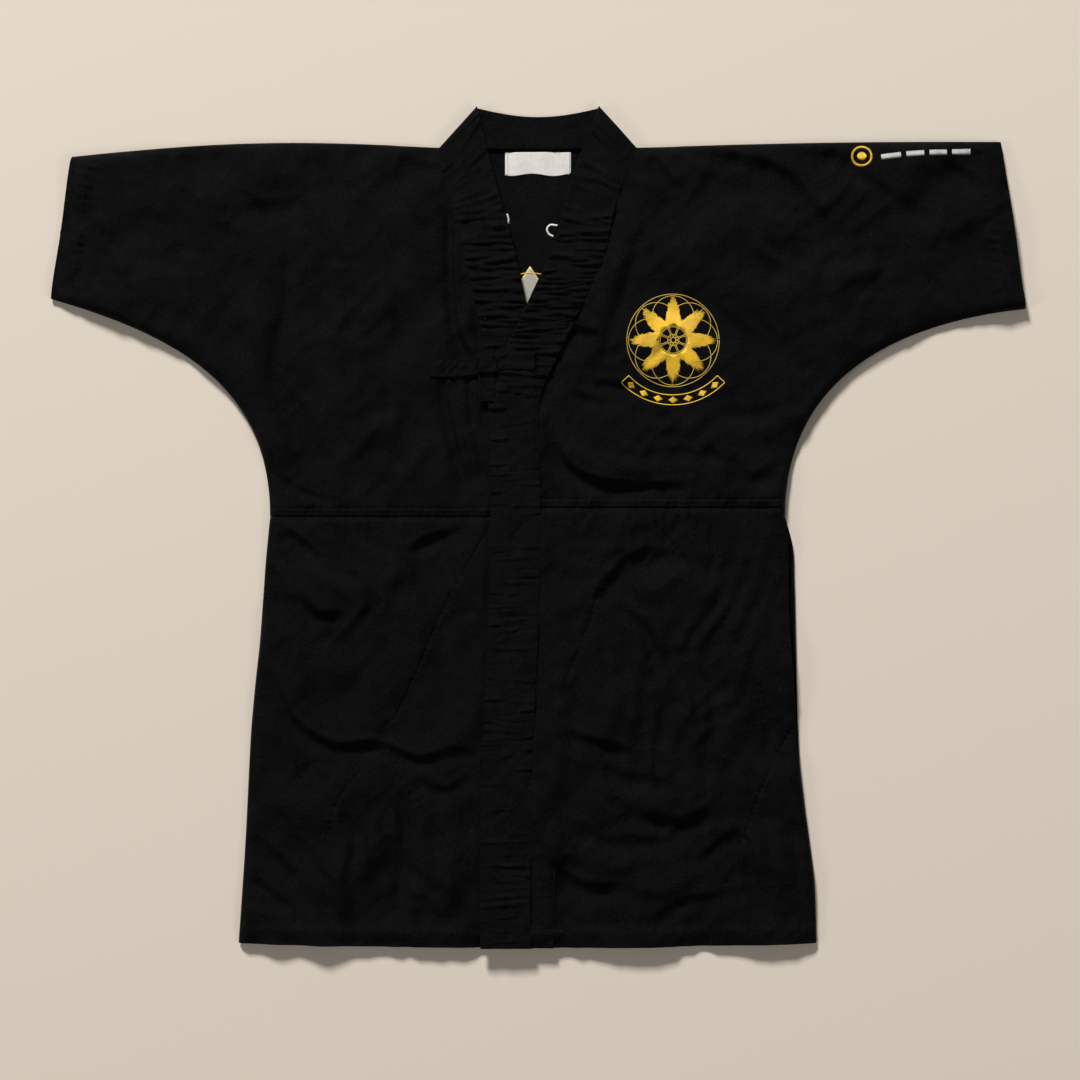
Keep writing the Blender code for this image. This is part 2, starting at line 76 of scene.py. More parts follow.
# Heights above the floor, in metres, of each layer's upper face
BACK_TOP = 0.0010
RIGHT_TOP = 0.0095
LEFT_LOW = 0.0098         # where the left front lies on nothing but the back
LEFT_HIGH = 0.0130        # where it lies over the right band
LOWEST_FRONT = 0.0034     # the foot of a valley that the back holds up
EDGE_TOP = 0.0040         # where a front and the back meet in a fold or a seam

# Each fold is a ridge with a crease along its left, or a valley where its height is negative.
Fold = namedtuple("Fold", "height width path")

RIGHT_UPPER_FOLDS = (
    Fold(0.0034, 0.013, ((-0.270, 0.290), (-0.270, 0.250), (-0.277, 0.199), (-0.284, 0.148),
                         (-0.270, 0.097), (-0.257, 0.063), (-0.228, 0.018))),
    Fold(-0.0042, 0.0045, ((-0.090, 0.318), (-0.088, 0.250), (-0.084, 0.199), (-0.070, 0.168))),
    Fold(0.0026, 0.007, ((-0.074, 0.225), (-0.070, 0.195), (-0.062, 0.178), (-0.054, 0.165))),
    Fold(-0.0030, 0.005, ((-0.097, 0.150), (-0.094, 0.128), (-0.087, 0.090), (-0.073, 0.040))),
    Fold(-0.0026, 0.003, ((-0.070, 0.152), (-0.068, 0.130), (-0.065, 0.100))),
    Fold(-0.0022, 0.003, ((-0.062, 0.085), (-0.055, 0.055), (-0.046, 0.018))),
    Fold(0.0016, 0.012, ((-0.190, 0.080), (-0.165, 0.096), (-0.135, 0.100))),
    Fold(0.0012, 0.010, ((-0.165, 0.068), (-0.145, 0.055), (-0.120, 0.050))),
    Fold(-0.0016, 0.009, ((-0.290, 0.318), (-0.264, 0.315), (-0.232, 0.322))),
    Fold(-0.0016, 0.007, ((-0.140, 0.365), (-0.118, 0.357), (-0.096, 0.354))),
    Fold(0.0022, 0.024, ((-0.215, 0.376), (-0.270, 0.362), (-0.345, 0.326))),
    Fold(0.0016, 0.014, ((-0.462, 0.330), (-0.440, 0.352), (-0.410, 0.372))),
    Fold(0.0018, 0.022, ((-0.440, 0.250), (-0.380, 0.236), (-0.320, 0.190))),
    Fold(-0.0014, 0.012, ((-0.250, 0.130), (-0.225, 0.075), (-0.215, 0.030))),
    Fold(-0.0016, 0.004, ((-0.258, 0.052), (-0.236, 0.034), (-0.200, 0.026))),
    Fold(0.0014, 0.018, ((-0.180, 0.300), (-0.165, 0.230), (-0.175, 0.150))),
)
RIGHT_SKIRT_FOLDS = (
    Fold(0.0034, 0.016, ((-0.285, -0.080), (-0.250, -0.110), (-0.215, -0.135), (-0.180, -0.150))),
    Fold(-0.0032, 0.007, ((-0.272, -0.144), (-0.248, -0.196), (-0.204, -0.224), (-0.164, -0.222),
                          (-0.136, -0.232), (-0.116, -0.238), (-0.084, -0.228), (-0.060, -0.232))),
    Fold(-0.0020, 0.006, ((-0.130, -0.028), (-0.104, -0.014), (-0.076, -0.006))),
    Fold(-0.0018, 0.006, ((-0.122, -0.256), (-0.092, -0.267), (-0.064, -0.250))),
    Fold(0.0022, 0.011, ((-0.202, -0.280), (-0.200, -0.330), (-0.198, -0.388))),
    Fold(-0.0022, 0.006, ((-0.146, -0.245), (-0.136, -0.292), (-0.138, -0.340), (-0.140, -0.392))),
    Fold(-0.0018, 0.006, ((-0.256, -0.004), (-0.236, -0.020), (-0.216, -0.036))),
    Fold(-0.0020, 0.007, ((-0.244, -0.056), (-0.228, -0.088), (-0.188, -0.092))),
    Fold(-0.0024, 0.008, ((-0.290, -0.308), (-0.264, -0.336), (-0.238, -0.356))),
    Fold(-0.0018, 0.006, ((-0.286, -0.352), (-0.264, -0.373), (-0.248, -0.382))),
    Fold(0.0016, 0.016, ((-0.230, -0.020), (-0.215, -0.060), (-0.218, -0.110))),
    Fold(0.0016, 0.014, ((-0.120, -0.060), (-0.118, -0.130), (-0.108, -0.200))),
    Fold(0.0016, 0.013, ((-0.094, -0.280), (-0.088, -0.330), (-0.090, -0.390))),
)
LEFT_UPPER_FOLDS = (
    Fold(-0.0022, 0.009, ((0.140, 0.378), (0.213, 0.360), (0.247, 0.345), (0.267, 0.321),
                          (0.294, 0.294), (0.316, 0.270))),
    Fold(-0.0018, 0.008, ((0.240, 0.378), (0.294, 0.368), (0.328, 0.345), (0.352, 0.328),
                          (0.400, 0.298))),
    Fold(-0.0018, 0.006, ((0.112, 0.370), (0.124, 0.352), (0.138, 0.334))),
    Fold(0.0022, 0.022, ((0.120, 0.262), (0.165, 0.291), (0.206, 0.304), (0.260, 0.306))),
    Fold(0.0022, 0.022, ((0.190, 0.236), (0.240, 0.226), (0.284, 0.240), (0.335, 0.266))),
    Fold(-0.0016, 0.007, ((0.405, 0.366), (0.425, 0.350), (0.445, 0.334))),
    Fold(-0.0016, 0.008, ((0.428, 0.306), (0.436, 0.285), (0.446, 0.262))),
    Fold(0.0022, 0.011, ((0.184, 0.098), (0.213, 0.094), (0.247, 0.104), (0.272, 0.112))),
    Fold(-0.0022, 0.008, ((0.192, 0.070), (0.213, 0.044), (0.246, 0.060))),
    Fold(-0.0038, 0.0065, ((0.010, 0.084), (0.036, 0.050), (0.087, 0.037), (0.150, 0.038))),
    Fold(0.0024, 0.010, ((0.020, 0.100), (0.050, 0.066), (0.100, 0.056), (0.160, 0.062))),
    Fold(-0.0014, 0.005, ((0.167, 0.084), (0.174, 0.072), (0.181, 0.060))),
    Fold(-0.0014, 0.006, ((0.030, 0.130), (0.053, 0.125), (0.076, 0.120))),
    Fold(-0.0034, 0.0055, ((0.006, 0.206), (0.030, 0.199), (0.045, 0.192), (0.062, 0.191))),
    Fold(0.0020, 0.010, ((0.092, 0.310), (0.078, 0.260), (0.064, 0.215), (0.046, 0.160))),
    Fold(-0.0020, 0.006, ((0.056, 0.142), (0.080, 0.139), (0.100, 0.141))),
    Fold(0.0016, 0.020, ((0.190, 0.180), (0.225, 0.150), (0.265, 0.145))),
)
LEFT_SKIRT_FOLDS = (
    Fold(-0.0030, 0.008, ((0.060, -0.078), (0.084, -0.048), (0.104, -0.033), (0.130, -0.028))),
    Fold(0.0028, 0.013, ((0.100, -0.070), (0.140, -0.052), (0.180, -0.075))),
    Fold(-0.0026, 0.008, ((0.072, -0.080), (0.104, -0.104), (0.124, -0.146))),
    Fold(-0.0022, 0.007, ((0.020, -0.206), (0.052, -0.218), (0.096, -0.229))),
    Fold(-0.0020, 0.008, ((0.062, -0.247), (0.100, -0.256), (0.150, -0.265))),
    Fold(-0.0020, 0.009, ((0.104, -0.290), (0.136, -0.301), (0.176, -0.291))),
    Fold(-0.0016, 0.007, ((0.160, -0.340), (0.180, -0.324), (0.204, -0.304))),
    Fold(0.0026, 0.013, ((-0.004, -0.258), (-0.002, -0.292), (0.012, -0.309), (0.036, -0.328),
                         (0.096, -0.341))),
    Fold(-0.0026, 0.008, ((-0.006, -0.332), (0.024, -0.353), (0.052, -0.366), (0.098, -0.364))),
    Fold(-0.0018, 0.007, ((0.120, -0.395), (0.152, -0.377), (0.186, -0.371))),
    Fold(-0.0018, 0.006, ((0.227, -0.178), (0.231, -0.208), (0.232, -0.240))),
    Fold(0.0018, 0.015, ((0.190, -0.120), (0.196, -0.180), (0.190, -0.240))),
    Fold(0.0016, 0.013, ((0.150, -0.130), (0.152, -0.190), (0.146, -0.250))),
    Fold(0.0016, 0.012, ((0.236, -0.290), (0.240, -0.340), (0.246, -0.390))),
    Fold(-0.0012, 0.004, ((0.085, -0.004), (0.088, -0.040), (0.092, -0.075))),
    Fold(-0.0012, 0.004, ((0.172, 0.002), (0.176, -0.030), (0.170, -0.060))),
)

# Quilting: single rows of stitches that cross the skirt in long diamonds
RIGHT_QUILTING = (
    ((-0.051, -0.003), (-0.092, -0.077), (-0.136, -0.177), (-0.152, -0.198)),
    ((-0.176, -0.241), (-0.200, -0.273), (-0.212, -0.313)),
    ((-0.146, -0.240), (-0.108, -0.293), (-0.084, -0.325), (-0.064, -0.341)),
)
LEFT_QUILTING = (
    ((0.112, 0.011), (0.144, -0.029), (0.172, -0.069), (0.200, -0.113), (0.216, -0.145),
     (0.228, -0.201), (0.238, -0.227)),
    ((0.260, -0.193), (0.238, -0.229), (0.220, -0.269), (0.208, -0.305), (0.192, -0.329)),
    ((0.068, -0.241), (0.084, -0.285), (0.100, -0.317)),
    ((0.064, -0.053), (0.052, -0.093), (0.040, -0.125), (0.028, -0.153)),
)

# Where a band is gathered, as (metres below the collar, spread, number, height)
RIGHT_GATHERS = ((0.04, 0.020, 16, 0.0009), (0.085, 0.022, 26, 0.0013), (0.140, 0.026, 48, 0.0015),
                 (0.185, 0.022, 40, 0.0014), (0.225, 0.020, 18, 0.0008))
LEFT_GATHERS = ((0.045, 0.020, 22, 0.0012), (0.095, 0.022, 30, 0.0014), (0.150, 0.024, 46, 0.0015),
                (0.190, 0.022, 40, 0.0015), (0.240, 0.024, 30, 0.0012), (0.330, 0.034, 16, 0.0010),
                (0.420, 0.020, 10, 0.0010), (0.475, 0.014, 12, 0.0011), (0.530, 0.022, 9, 0.0009),
                (0.605, 0.030, 20, 0.0013), (0.700, 0.030, 9, 0.0007), (0.780, 0.040, 18, 0.0009))


def measure(name, description, default, low, high):
    return bpy.props.FloatProperty(name=name, description=description, default=default,
                                   min=low, max=high, precision=5, unit="LENGTH")


def dye(name, description, default):
    return bpy.props.FloatVectorProperty(name=name, description=description, default=default,
                                         subtype="COLOR", size=3, min=0.0, max=1.0)


class JacketSettings(bpy.types.PropertyGroup):
    """Sizes and colours of the jacket's cloth and thread."""

    cloth: measure("Canvas", "Thickness of the canvas", 0.0008, 0.0003, 0.002)
    mesh_step: measure("Mesh step", "Spacing of the points in a panel", 0.0032, 0.002, 0.02)
    fold_strength: bpy.props.FloatProperty(
        name="Fold strength", description="Scales the height of the named folds",
        default=2.4, min=0.0, max=3.0)
    wrinkles: measure("Wrinkles", "Height of the small wrinkles between the folds",
                      0.0010, 0.0, 0.003)
    band_thick: measure("Band thickness", "Thickness of the doubled band with its lining",
                        0.0028, 0.001, 0.006)
    stitch_length: measure("Stitch length", "Length of one stitch", 0.0024, 0.001, 0.008)
    stitch_width: measure("Stitch width", "Width of the sewing thread", 0.0005, 0.0001, 0.002)
    canvas_colour: dye("Canvas colour", "Dyed cotton canvas", (0.0028, 0.0027, 0.0028))
    thread_colour: dye("Thread colour", "Sewing thread", (0.0014, 0.0014, 0.0015))
    lining_colour: dye("Interlining colour", "Unbleached cotton", (0.55, 0.52, 0.45))
    label_colour: dye("Label colour", "Woven label", (0.78, 0.74, 0.68))
    yellow: dye("Yellow thread", "Embroidery thread", (0.92, 0.56, 0.010))
    pale_yellow: dye("Pale thread", "Outlines of the needlework", (0.74, 0.50, 0.060))
    white: dye("White thread", "Strokes on the sleeve", (0.80, 0.78, 0.74))
    floor_colour: dye("Floor colour", "Plain pale floor", (0.685, 0.603, 0.507))


def settings():
    return bpy.context.scene.jacket


# Lines in the plane, as arrays of points

SHARP_TURN = math.radians(28)


def corners(outline):
    """The places in a closed outline where it turns sharply."""
    ahead = np.roll(outline, -1, axis=0) - outline
    behind = outline - np.roll(outline, 1, axis=0)
    turn = np.arctan2(behind[:, 0] * ahead[:, 1] - behind[:, 1] * ahead[:, 0],
                      (behind * ahead).sum(1))
    return np.flatnonzero(np.abs(turn) > SHARP_TURN)


def outline_of(node):
    """A flat piece's outline, anticlockwise, from the rim of its upper face."""
    mesh = frame["nodes"][node].data
    top = max(vertex.co.z for vertex in mesh.vertices)
    rim = set()
    for face in mesh.polygons:
        points = [tuple(round(x, 6) for x in mesh.vertices[i].co) for i in face.vertices]
        if face.normal.z < 0.9 or any(top - p[2] > 1e-5 for p in points):
            continue
        for a, b in zip(points, points[1:] + points[:1]):
            if (b, a) in rim:
                rim.remove((b, a))
            else:
                rim.add((a, b))
    after = dict(rim)
    found = [max(after)]
    while after[found[-1]] != found[0]:
        found.append(after[found[-1]])
    return np.array(found)[:, :2]


def lengths(path):
    """How far along a path each of its points is."""
    return np.concatenate([[0.0], np.cumsum(np.linalg.norm(np.diff(path, axis=0), axis=1))])


def even(path, step):
    """A path's points moved to even distances along it."""
    far = lengths(path)
    at = np.linspace(0, far[-1], max(2, round(far[-1] / step) + 1))
    return np.column_stack([np.interp(at, far, path[:, k]) for k in range(path.shape[1])])


def smooth(path, step=0.004):
    """A curve through the points of a path."""
    path = np.asarray(path, float)
    ends = np.vstack([2 * path[0] - path[1], path, 2 * path[-1] - path[-2]])[:, None, :]
    a, b, c, d = ends[:-3], ends[1:-2], ends[2:-1], ends[3:]
    t = np.linspace(0, 1, 12, endpoint=False)[None, :, None]
    curve = 0.5 * (2 * b + (c - a) * t + (2 * a - 5 * b + 4 * c - d) * t ** 2
                   + (3 * b - a - 3 * c + d) * t ** 3)
    return even(np.vstack([curve.reshape(-1, 2), path[-1]]), step)


def runs(outline):
    """A closed outline's stretches from corner to corner."""
    at = corners(outline)
    turned = np.roll(outline, -at[0], axis=0)
    closed = np.vstack([turned, turned[:1]])
    at = [*(at - at[0]), len(outline)]
    return [closed[i:j + 1] for i, j in zip(at, at[1:])]


def rounded(outline, step):
    """A closed outline with curves for its chords and its corners kept."""
    return np.vstack([smooth(run, step)[:-1] for run in runs(outline)])


def joined(first, second):
    """The outlines of two pieces that meet at the front's fold, as one."""
    turned = []
    for outline in (first, second):
        i, j = sorted(np.argsort(np.abs((outline - FOLD_POINT) @ FOLD_SIDE))[:2])
        turned.append(np.roll(outline, -(j if j == i + 1 else i), axis=0))
    one, other = turned
    return np.vstack([(one[:1] + other[-1:]) / 2, one[1:-1],
                      (one[-1:] + other[:1]) / 2, other[1:-1]])


def way_round(outline, start, end, avoid):
    """An outline's stretch between two of its corners that misses a third."""
    i, j, k = (int(np.argmin(np.linalg.norm(outline - p, axis=1))) for p in (start, end, avoid))
    count = len(outline)
    forward = [(i + n) % count for n in range((j - i) % count + 1)]
    back = [(i - n) % count for n in range((i - j) % count + 1)]
    return outline[back if k in forward else forward]


def square_to(run):
    """Directions a quarter turn to the left of others."""
    return np.column_stack([-run[:, 1], run[:, 0]]) / np.linalg.norm(run, axis=1)[:, None]


def left_of(path):
    """The direction square to a path on its left, at each of its points."""
    return square_to(np.gradient(path, axis=0))


def inward_of(outline):
    """The direction into an anticlockwise outline, at each of its points."""
    return square_to(np.roll(outline, -1, axis=0) - np.roll(outline, 1, axis=0))


def towards(turn):
    return np.array([math.cos(turn), math.sin(turn)])


def circle_of(centre, radius, count=72, start=0.0, end=2 * math.pi):
    turn = np.linspace(start, end, count)
    return centre + radius * np.column_stack([np.cos(turn), np.sin(turn)])


def nearest(points, path):
    """How far each point is from a path, how far along it, and 1 or -1 for its left or right."""
    best = np.full(len(points), np.inf)
    along, side = np.zeros(len(points)), np.zeros(len(points))
    for a, b, start in zip(path, path[1:], lengths(path)):
        run = b - a
        t = np.clip((points - a) @ run / (run @ run), 0, 1)
        off = points - a - t[:, None] * run
        gap = np.hypot(off[:, 0], off[:, 1])
        closer = gap < best
        best[closer] = gap[closer]
        along[closer] = start + t[closer] * math.sqrt(run @ run)
        side[closer] = np.sign(run[0] * off[closer, 1] - run[1] * off[closer, 0])
    return best, along, side


def distance(points, paths):
    return np.min([nearest(points, path)[0] for path in paths], axis=0)


def inside(points, outline):
    odd = np.zeros(len(points), bool)
    for a, b in zip(outline, np.roll(outline, -1, axis=0)):
        if a[1] != b[1]:
            spans = (a[1] > points[:, 1]) != (b[1] > points[:, 1])
            odd ^= spans & (points[:, 0] < a[0] + (points[:, 1] - a[1]) * (b[0] - a[0]) / (b[1] - a[1]))
    return odd


def area_of(outline):
    ahead = np.roll(outline, -1, axis=0)
    return abs((outline[:, 0] * ahead[:, 1] - ahead[:, 0] * outline[:, 1]).sum()) / 2


def eased(t):
    t = np.clip(t, 0, 1)
    return t * t * (3 - 2 * t)


def quarter_round(t):
    """A quarter circle's height, from 0 at its edge to 1."""
    return np.sqrt(1 - (1 - np.clip(t, 0, 1)) ** 2)


# The fold of the left front, and the edges that every layer shares

FOLD_JOINT, STRAP_JOINT = frame["joints"]
FOLD_POINT = np.array(FOLD_JOINT["pos_m"][:2])
FOLD_SIDE = np.array([FOLD_JOINT["axis"][1], -FOLD_JOINT["axis"][0]])

FOLD_MOST = 0.0058        # the highest ridge, and the deepest valley
CLOSED_REACH = 0.010      # how far in a closed edge's round goes
OPEN_REACH = 0.016        # how far in from a hem or a cuff a front sinks
OPEN_DROP = 0.0030        # and by how much
HEM_ROW = 0.019           # stitches above the bottom edge
CUFF_ROW = 0.023          # stitches inside a sleeve's mouth
WAIST_ROWS = (0.0042, 0.0088)       # stitches above a waist seam
BAND_ROWS = (0.07, 0.93)  # stitches along a band, as shares of its width
ROW_DEPTH = 0.00085       # how far a row of stitches pulls the cloth down
ROW_WIDTH = 0.0013
PUCKER_REACH = 0.0042     # how far beside a row the cloth puckers
SEAM_DIP = 0.0022         # depth and width of the groove at a waist seam
TURNED_IN = 0.0013        # what a hem's second layer adds
TURN_WIDTH = 0.003

COLLAR = outline_of("collar_back")
NECK = {side: COLLAR[np.argmin(COLLAR @ (-side, 1))] for side in (-1, 1)}
TIP = {side: COLLAR[np.argmax(COLLAR @ (side, 3))] for side in (-1, 1)}


def shared_edges():
    """The back's closed edges, its cuffs and its hem."""
    upper, skirt = outline_of("back_upper"), outline_of("back_skirt")
    label_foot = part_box("neck_label")[0].y
    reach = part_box("back_upper")[1].x - CUFF_ROW * 2
    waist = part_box("back_upper")[0].y
    closed, cuffs, hems = [], [], []
    for run in [*runs(upper), *runs(skirt)]:
        if run[:, 1].max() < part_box("back_skirt")[0].y + HEM_ROW:
            hems.append(run)
        elif np.abs(run[:, 1] - waist).max() < 0.002:
            continue
        elif np.abs(run[:, 0]).min() > reach and run[:, 1].max() < label_foot + HEM_ROW * 2:
            cuffs.append(run)
        else:
            closed.append(run)
    return closed, cuffs, hems


def parted(run):
    """A shoulder line, in two where it passes the neck."""
    if run[:, 0].min() > NECK[-1][0] or run[:, 0].max() < NECK[1][0]:
        return [run]
    return [run[run[:, 0] < NECK[-1][0] + 0.001], run[run[:, 0] > NECK[1][0] - 0.001]]


CLOSED, CUFFS, HEMS = shared_edges()
CLOSED = [smooth(part, 0.006) for run in CLOSED for part in parted(run)]
CUFFS, HEMS = ([smooth(run, 0.006) for run in edges] for edges in (CUFFS, HEMS))


# Heights of the cloth, for arrays of points

def fold_height(points, folds):
    total = np.zeros(len(points))
    for fold in folds:
        path = smooth(fold.path, 0.008)
        gap, along, side = nearest(points, path)
        taper = np.sin(np.pi * np.clip(along / lengths(path)[-1], 0, 1)).clip(0) ** 0.6
        across = gap * side / fold.width
        crease = np.exp(-((across - 1.5) / 0.55) ** 2) * 0.35
        total += fold.height * taper * (np.exp(-np.abs(across) ** 1.5) - crease)
    return FOLD_MOST * np.tanh(total * settings().fold_strength / FOLD_MOST)


def waves(points, seed, size):
    """Smooth noise of height about 1 whose features have a size."""
    rng = np.random.default_rng(seed)
    bent = points + 0.35 * size * np.sin(points[:, ::-1] * (2.1 / size) + rng.uniform(0, 6, 2))
    total = np.zeros(len(points))
    for _ in range(14):
        turn, long = rng.uniform(0, 2 * math.pi), size * rng.uniform(0.6, 1.7)
        way = towards(turn) * 2 * math.pi / long
        total += np.sin(bent @ way + rng.uniform(0, 2 * math.pi))
    return total / math.sqrt(7)


def wrinkles(points, seed):
    """Soft dents with small sharp creases between them."""
    low = settings().wrinkles
    creased = 1 - np.abs(waves(points, seed, 0.055))
    return low * (1.6 * waves(points, seed + 1, 0.11) + 0.8 * creased
                  + 0.30 * waves(points, seed + 2, 0.024))


def sewn(points, rows):
    """Stitching pulls the cloth down along its rows, and puckers it beside them."""
    total = np.zeros(len(points))
    for n, row in enumerate(rows):
        gap, along, _ = nearest(points, row)
        beat = np.sin(along / 0.0011 + 3 * np.sin(along / 0.013 + n))
        total -= ROW_DEPTH * np.exp(-(gap / ROW_WIDTH) ** 2)
        total += 0.45 * ROW_DEPTH * beat * np.exp(-(gap / PUCKER_REACH) ** 2)
    return total


def doubled(points):
    """Hems and cuffs are turned in, so they stand a layer higher."""
    hem = 1 - eased((distance(points, HEMS) - HEM_ROW) / TURN_WIDTH)
    cuff = 1 - eased((distance(points, CUFFS) - CUFF_ROW) / TURN_WIDTH)
    return TURNED_IN * np.maximum(hem, cuff)


def edged(points, height):
    """A front's height, brought down to the back at closed edges and lowered at open ones."""
    shut = quarter_round(distance(points, CLOSED) / CLOSED_REACH)
    open_edge = 1 - eased(distance(points, CUFFS + HEMS) / OPEN_REACH)
    wavy = 1 + 0.35 * waves(points, 9, 0.07)
    return EDGE_TOP + (height - EDGE_TOP - OPEN_DROP * wavy * open_edge) * shut


def seam_dip(points, y):
    return -SEAM_DIP * np.exp(-(np.abs(points[:, 1] - y) / SEAM_DIP) ** 2)


def back_top(points):
    shut = quarter_round(distance(points, CLOSED) / (CLOSED_REACH * 0.8))
    edge = EDGE_TOP - settings().cloth - 0.0001
    flat = BACK_TOP + 0.00012 * waves(points, 40, 0.06)
    return edge + (flat - edge) * shut


def hem_corner(outline, side):
    """A band's lower corner, on the wearer's right (-1) or left (1)."""
    return outline[np.argmax(outline @ (side, -9))]


def band_sides(outline, side):
    """The seam and the free edge of a band, from the collar down."""
    seam = way_round(outline, NECK[side], hem_corner(outline, side), TIP[side])
    free = way_round(outline, TIP[side], hem_corner(outline, -side), NECK[side])
    return smooth(seam), smooth(free)


def left_base(points):
    """The left front lies over the right band, and sinks beside it."""
    free = RIGHT.sides[1][::-1]
    ridge = np.interp(points[:, 1], free[:, 1], free[:, 0])
    over = eased((ridge + 0.012 - points[:, 0]) / 0.020)
    under_v = eased((FOLD_JOINT["pos_m"][1] + 0.040 - points[:, 1]) / 0.050)
    return LEFT_LOW + (LEFT_HIGH - LEFT_LOW) * over * under_v


def shown(points):
    """1 where the right front shows, 0 where the left front's band covers it."""
    free = LEFT.sides[1][::-1]
    edge = np.interp(points[:, 1], free[:, 1], free[:, 0])
    return eased((edge - points[:, 0]) / 0.008)


def tucked(points, front):
    """1 on the open cloth, 0 where a front's edge is inside its band."""
    seam = front.sides[0][::-1]
    within = front.side * (np.interp(points[:, 1], seam[:, 1], seam[:, 0]) - points[:, 0])
    return 1 - eased((within + 0.001) / 0.003)


def puckers(points, seed, seam_y):
    """Short pleats below a waist seam, and slanting ones along the hem and the cuffs."""
    x = points[:, 0] + 0.004 * waves(points, seed, 0.05)
    under = seam_y - points[:, 1]
    below = eased(under / 0.004) * np.exp(-np.clip(under, 0, 1) / 0.020)
    uneven = 0.6 + 0.4 * waves(points, seed + 1, 0.06)
    total = 0.0008 * below * uneven * np.sin(x * 2 * np.pi / 0.0105)
    from_hem = distance(points, HEMS) - HEM_ROW
    slanted = (points[:, 0] + 0.35 * points[:, 1]) * 2 * np.pi / 0.0085
    near = np.exp(-(from_hem / 0.011) ** 2) * uneven
    total += 0.0006 * near * np.sin(slanted + 2 * waves(points, seed + 2, 0.05))
    from_cuff = distance(points, CUFFS) - CUFF_ROW
    near = np.exp(-(from_cuff / 0.012) ** 2) * uneven
    return total + 0.0005 * near * np.sin(points[:, 1] * 2 * np.pi / 0.0095 + points[:, 0] * 150)


def ripples(points, fields):
    """Patches of long soft ripples; each has its centre, size, direction, spacing and height."""
    total = np.zeros(len(points))
    for centre, size, lean, spacing, height in fields:
        off = points - centre
        along = off @ (math.sin(lean), math.cos(lean))
        across = off @ (math.cos(lean), -math.sin(lean)) + 0.15 * spacing * waves(points, 77, 0.08)
        window = np.exp(-(along / size[1]) ** 2 - (across / size[0]) ** 2)
        total += height * window * np.sin(across * 2 * math.pi / spacing)
    return total


RIGHT_RIPPLES = (((-0.150, -0.335), (0.060, 0.070), 0.05, 0.026, 0.0016),
                 ((-0.215, -0.055), (0.050, 0.050), -0.9, 0.024, 0.0012),
                 ((-0.130, -0.075), (0.050, 0.060), 0.5, 0.028, 0.0009),
                 ((-0.190, 0.250), (0.080, 0.090), -0.4, 0.042, 0.0012),
                 ((-0.385, 0.290), (0.060, 0.060), 1.2, 0.036, 0.0009))
LEFT_RIPPLES = (((0.135, -0.190), (0.060, 0.090), 0.12, 0.023, 0.0015),
                ((0.195, -0.090), (0.040, 0.080), 0.35, 0.021, 0.0012),
                ((0.110, -0.325), (0.080, 0.045), 1.25, 0.030, 0.0012),
                ((0.215, -0.330), (0.045, 0.070), -0.15, 0.026, 0.0012),
                ((0.130, 0.110), (0.090, 0.050), 1.35, 0.030, 0.0010),
                ((0.300, 0.250), (0.100, 0.070), 0.9, 0.040, 0.0012))


def waist_rows(left, right, y):
    return [np.array([(left, y + up), (right, y + up)]) for up in WAIST_ROWS]


def hem_rows():
    found = [run + (0, HEM_ROW) for run in HEMS]
    for run in CUFFS:
        middle = run.mean(0)
        inward = np.array([-math.copysign(CUFF_ROW, middle[0]), 0])
        found.append(run + inward)
    return found


Front = namedtuple("Front", "side waist sides stitched folds ripples seeds")


def front_of(name, side, band, folds, quilting, ripple_fields, seeds):
    """A front's side (-1 or 1), waist seam, band edges, rows of stitches and relief."""
    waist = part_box(name + "_front_skirt")[1].y
    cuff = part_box(name + "_front_upper")[side > 0].x
    rows = waist_rows(min(cuff, 0.0), max(cuff, 0.0), waist)
    rows += hem_rows() + [smooth(line) for line in quilting]
    return Front(side, waist, band_sides(band, side), rows, folds, ripple_fields, seeds)


RIGHT = front_of("right", -1, outline_of("right_band"), (RIGHT_UPPER_FOLDS, RIGHT_SKIRT_FOLDS),
                 RIGHT_QUILTING, RIGHT_RIPPLES, (11, 31))
LEFT = front_of("left", 1, joined(outline_of("left_band_neck"), outline_of("left_band")),
                (LEFT_UPPER_FOLDS, LEFT_SKIRT_FOLDS), LEFT_QUILTING, LEFT_RIPPLES, (23, 51))


def relief(points, front):
    """A front's folds, wrinkles, doubled edges, puckers and ripples."""
    folds = np.where(points[:, 1] > front.waist,
                     *(fold_height(points, part) for part in front.folds))
    near_seam = eased(np.abs(points[:, 1] - front.waist) / 0.012)
    total = folds * (0.35 + 0.65 * near_seam) + wrinkles(points, front.seeds[0])
    total += doubled(points) + puckers(points, front.seeds[1], front.waist)
    return total + ripples(points, front.ripples)


def finished(points, height, front):
    """A front's height once its rows, its waist seam and its edges are sewn."""
    return edged(points, height + sewn(points, front.stitched) + seam_dip(points, front.waist))


def right_top(points):
    height = RIGHT_TOP + relief(points, RIGHT) * shown(points) * tucked(points, RIGHT)
    return finished(points, np.maximum(height, LOWEST_FRONT), RIGHT)


def left_top(points):
    base = left_base(points)
    lifted = (base - LEFT_LOW) / (LEFT_HIGH - LEFT_LOW)
    lowest = LOWEST_FRONT + (LEFT_HIGH - 0.0008 - LOWEST_FRONT) * lifted
    height = base + relief(points, LEFT) * tucked(points, LEFT)
    return finished(points, np.maximum(height, lowest), LEFT)


# Making meshes

def solid(name, verts, faces, material):
    mesh = bpy.data.meshes.new(name)
    mesh.from_pydata([tuple(map(float, v)) for v in verts], [], [tuple(map(int, f)) for f in faces])
    work = bmesh.new()
    work.from_mesh(mesh)
    bmesh.ops.recalc_face_normals(work, faces=work.faces)
    work.to_mesh(mesh)
    work.free()
    mesh.shade_smooth()
    mesh.materials.append(material)
    made = bpy.data.objects.new(name, mesh)
    bpy.context.scene.collection.objects.link(made)
    return made


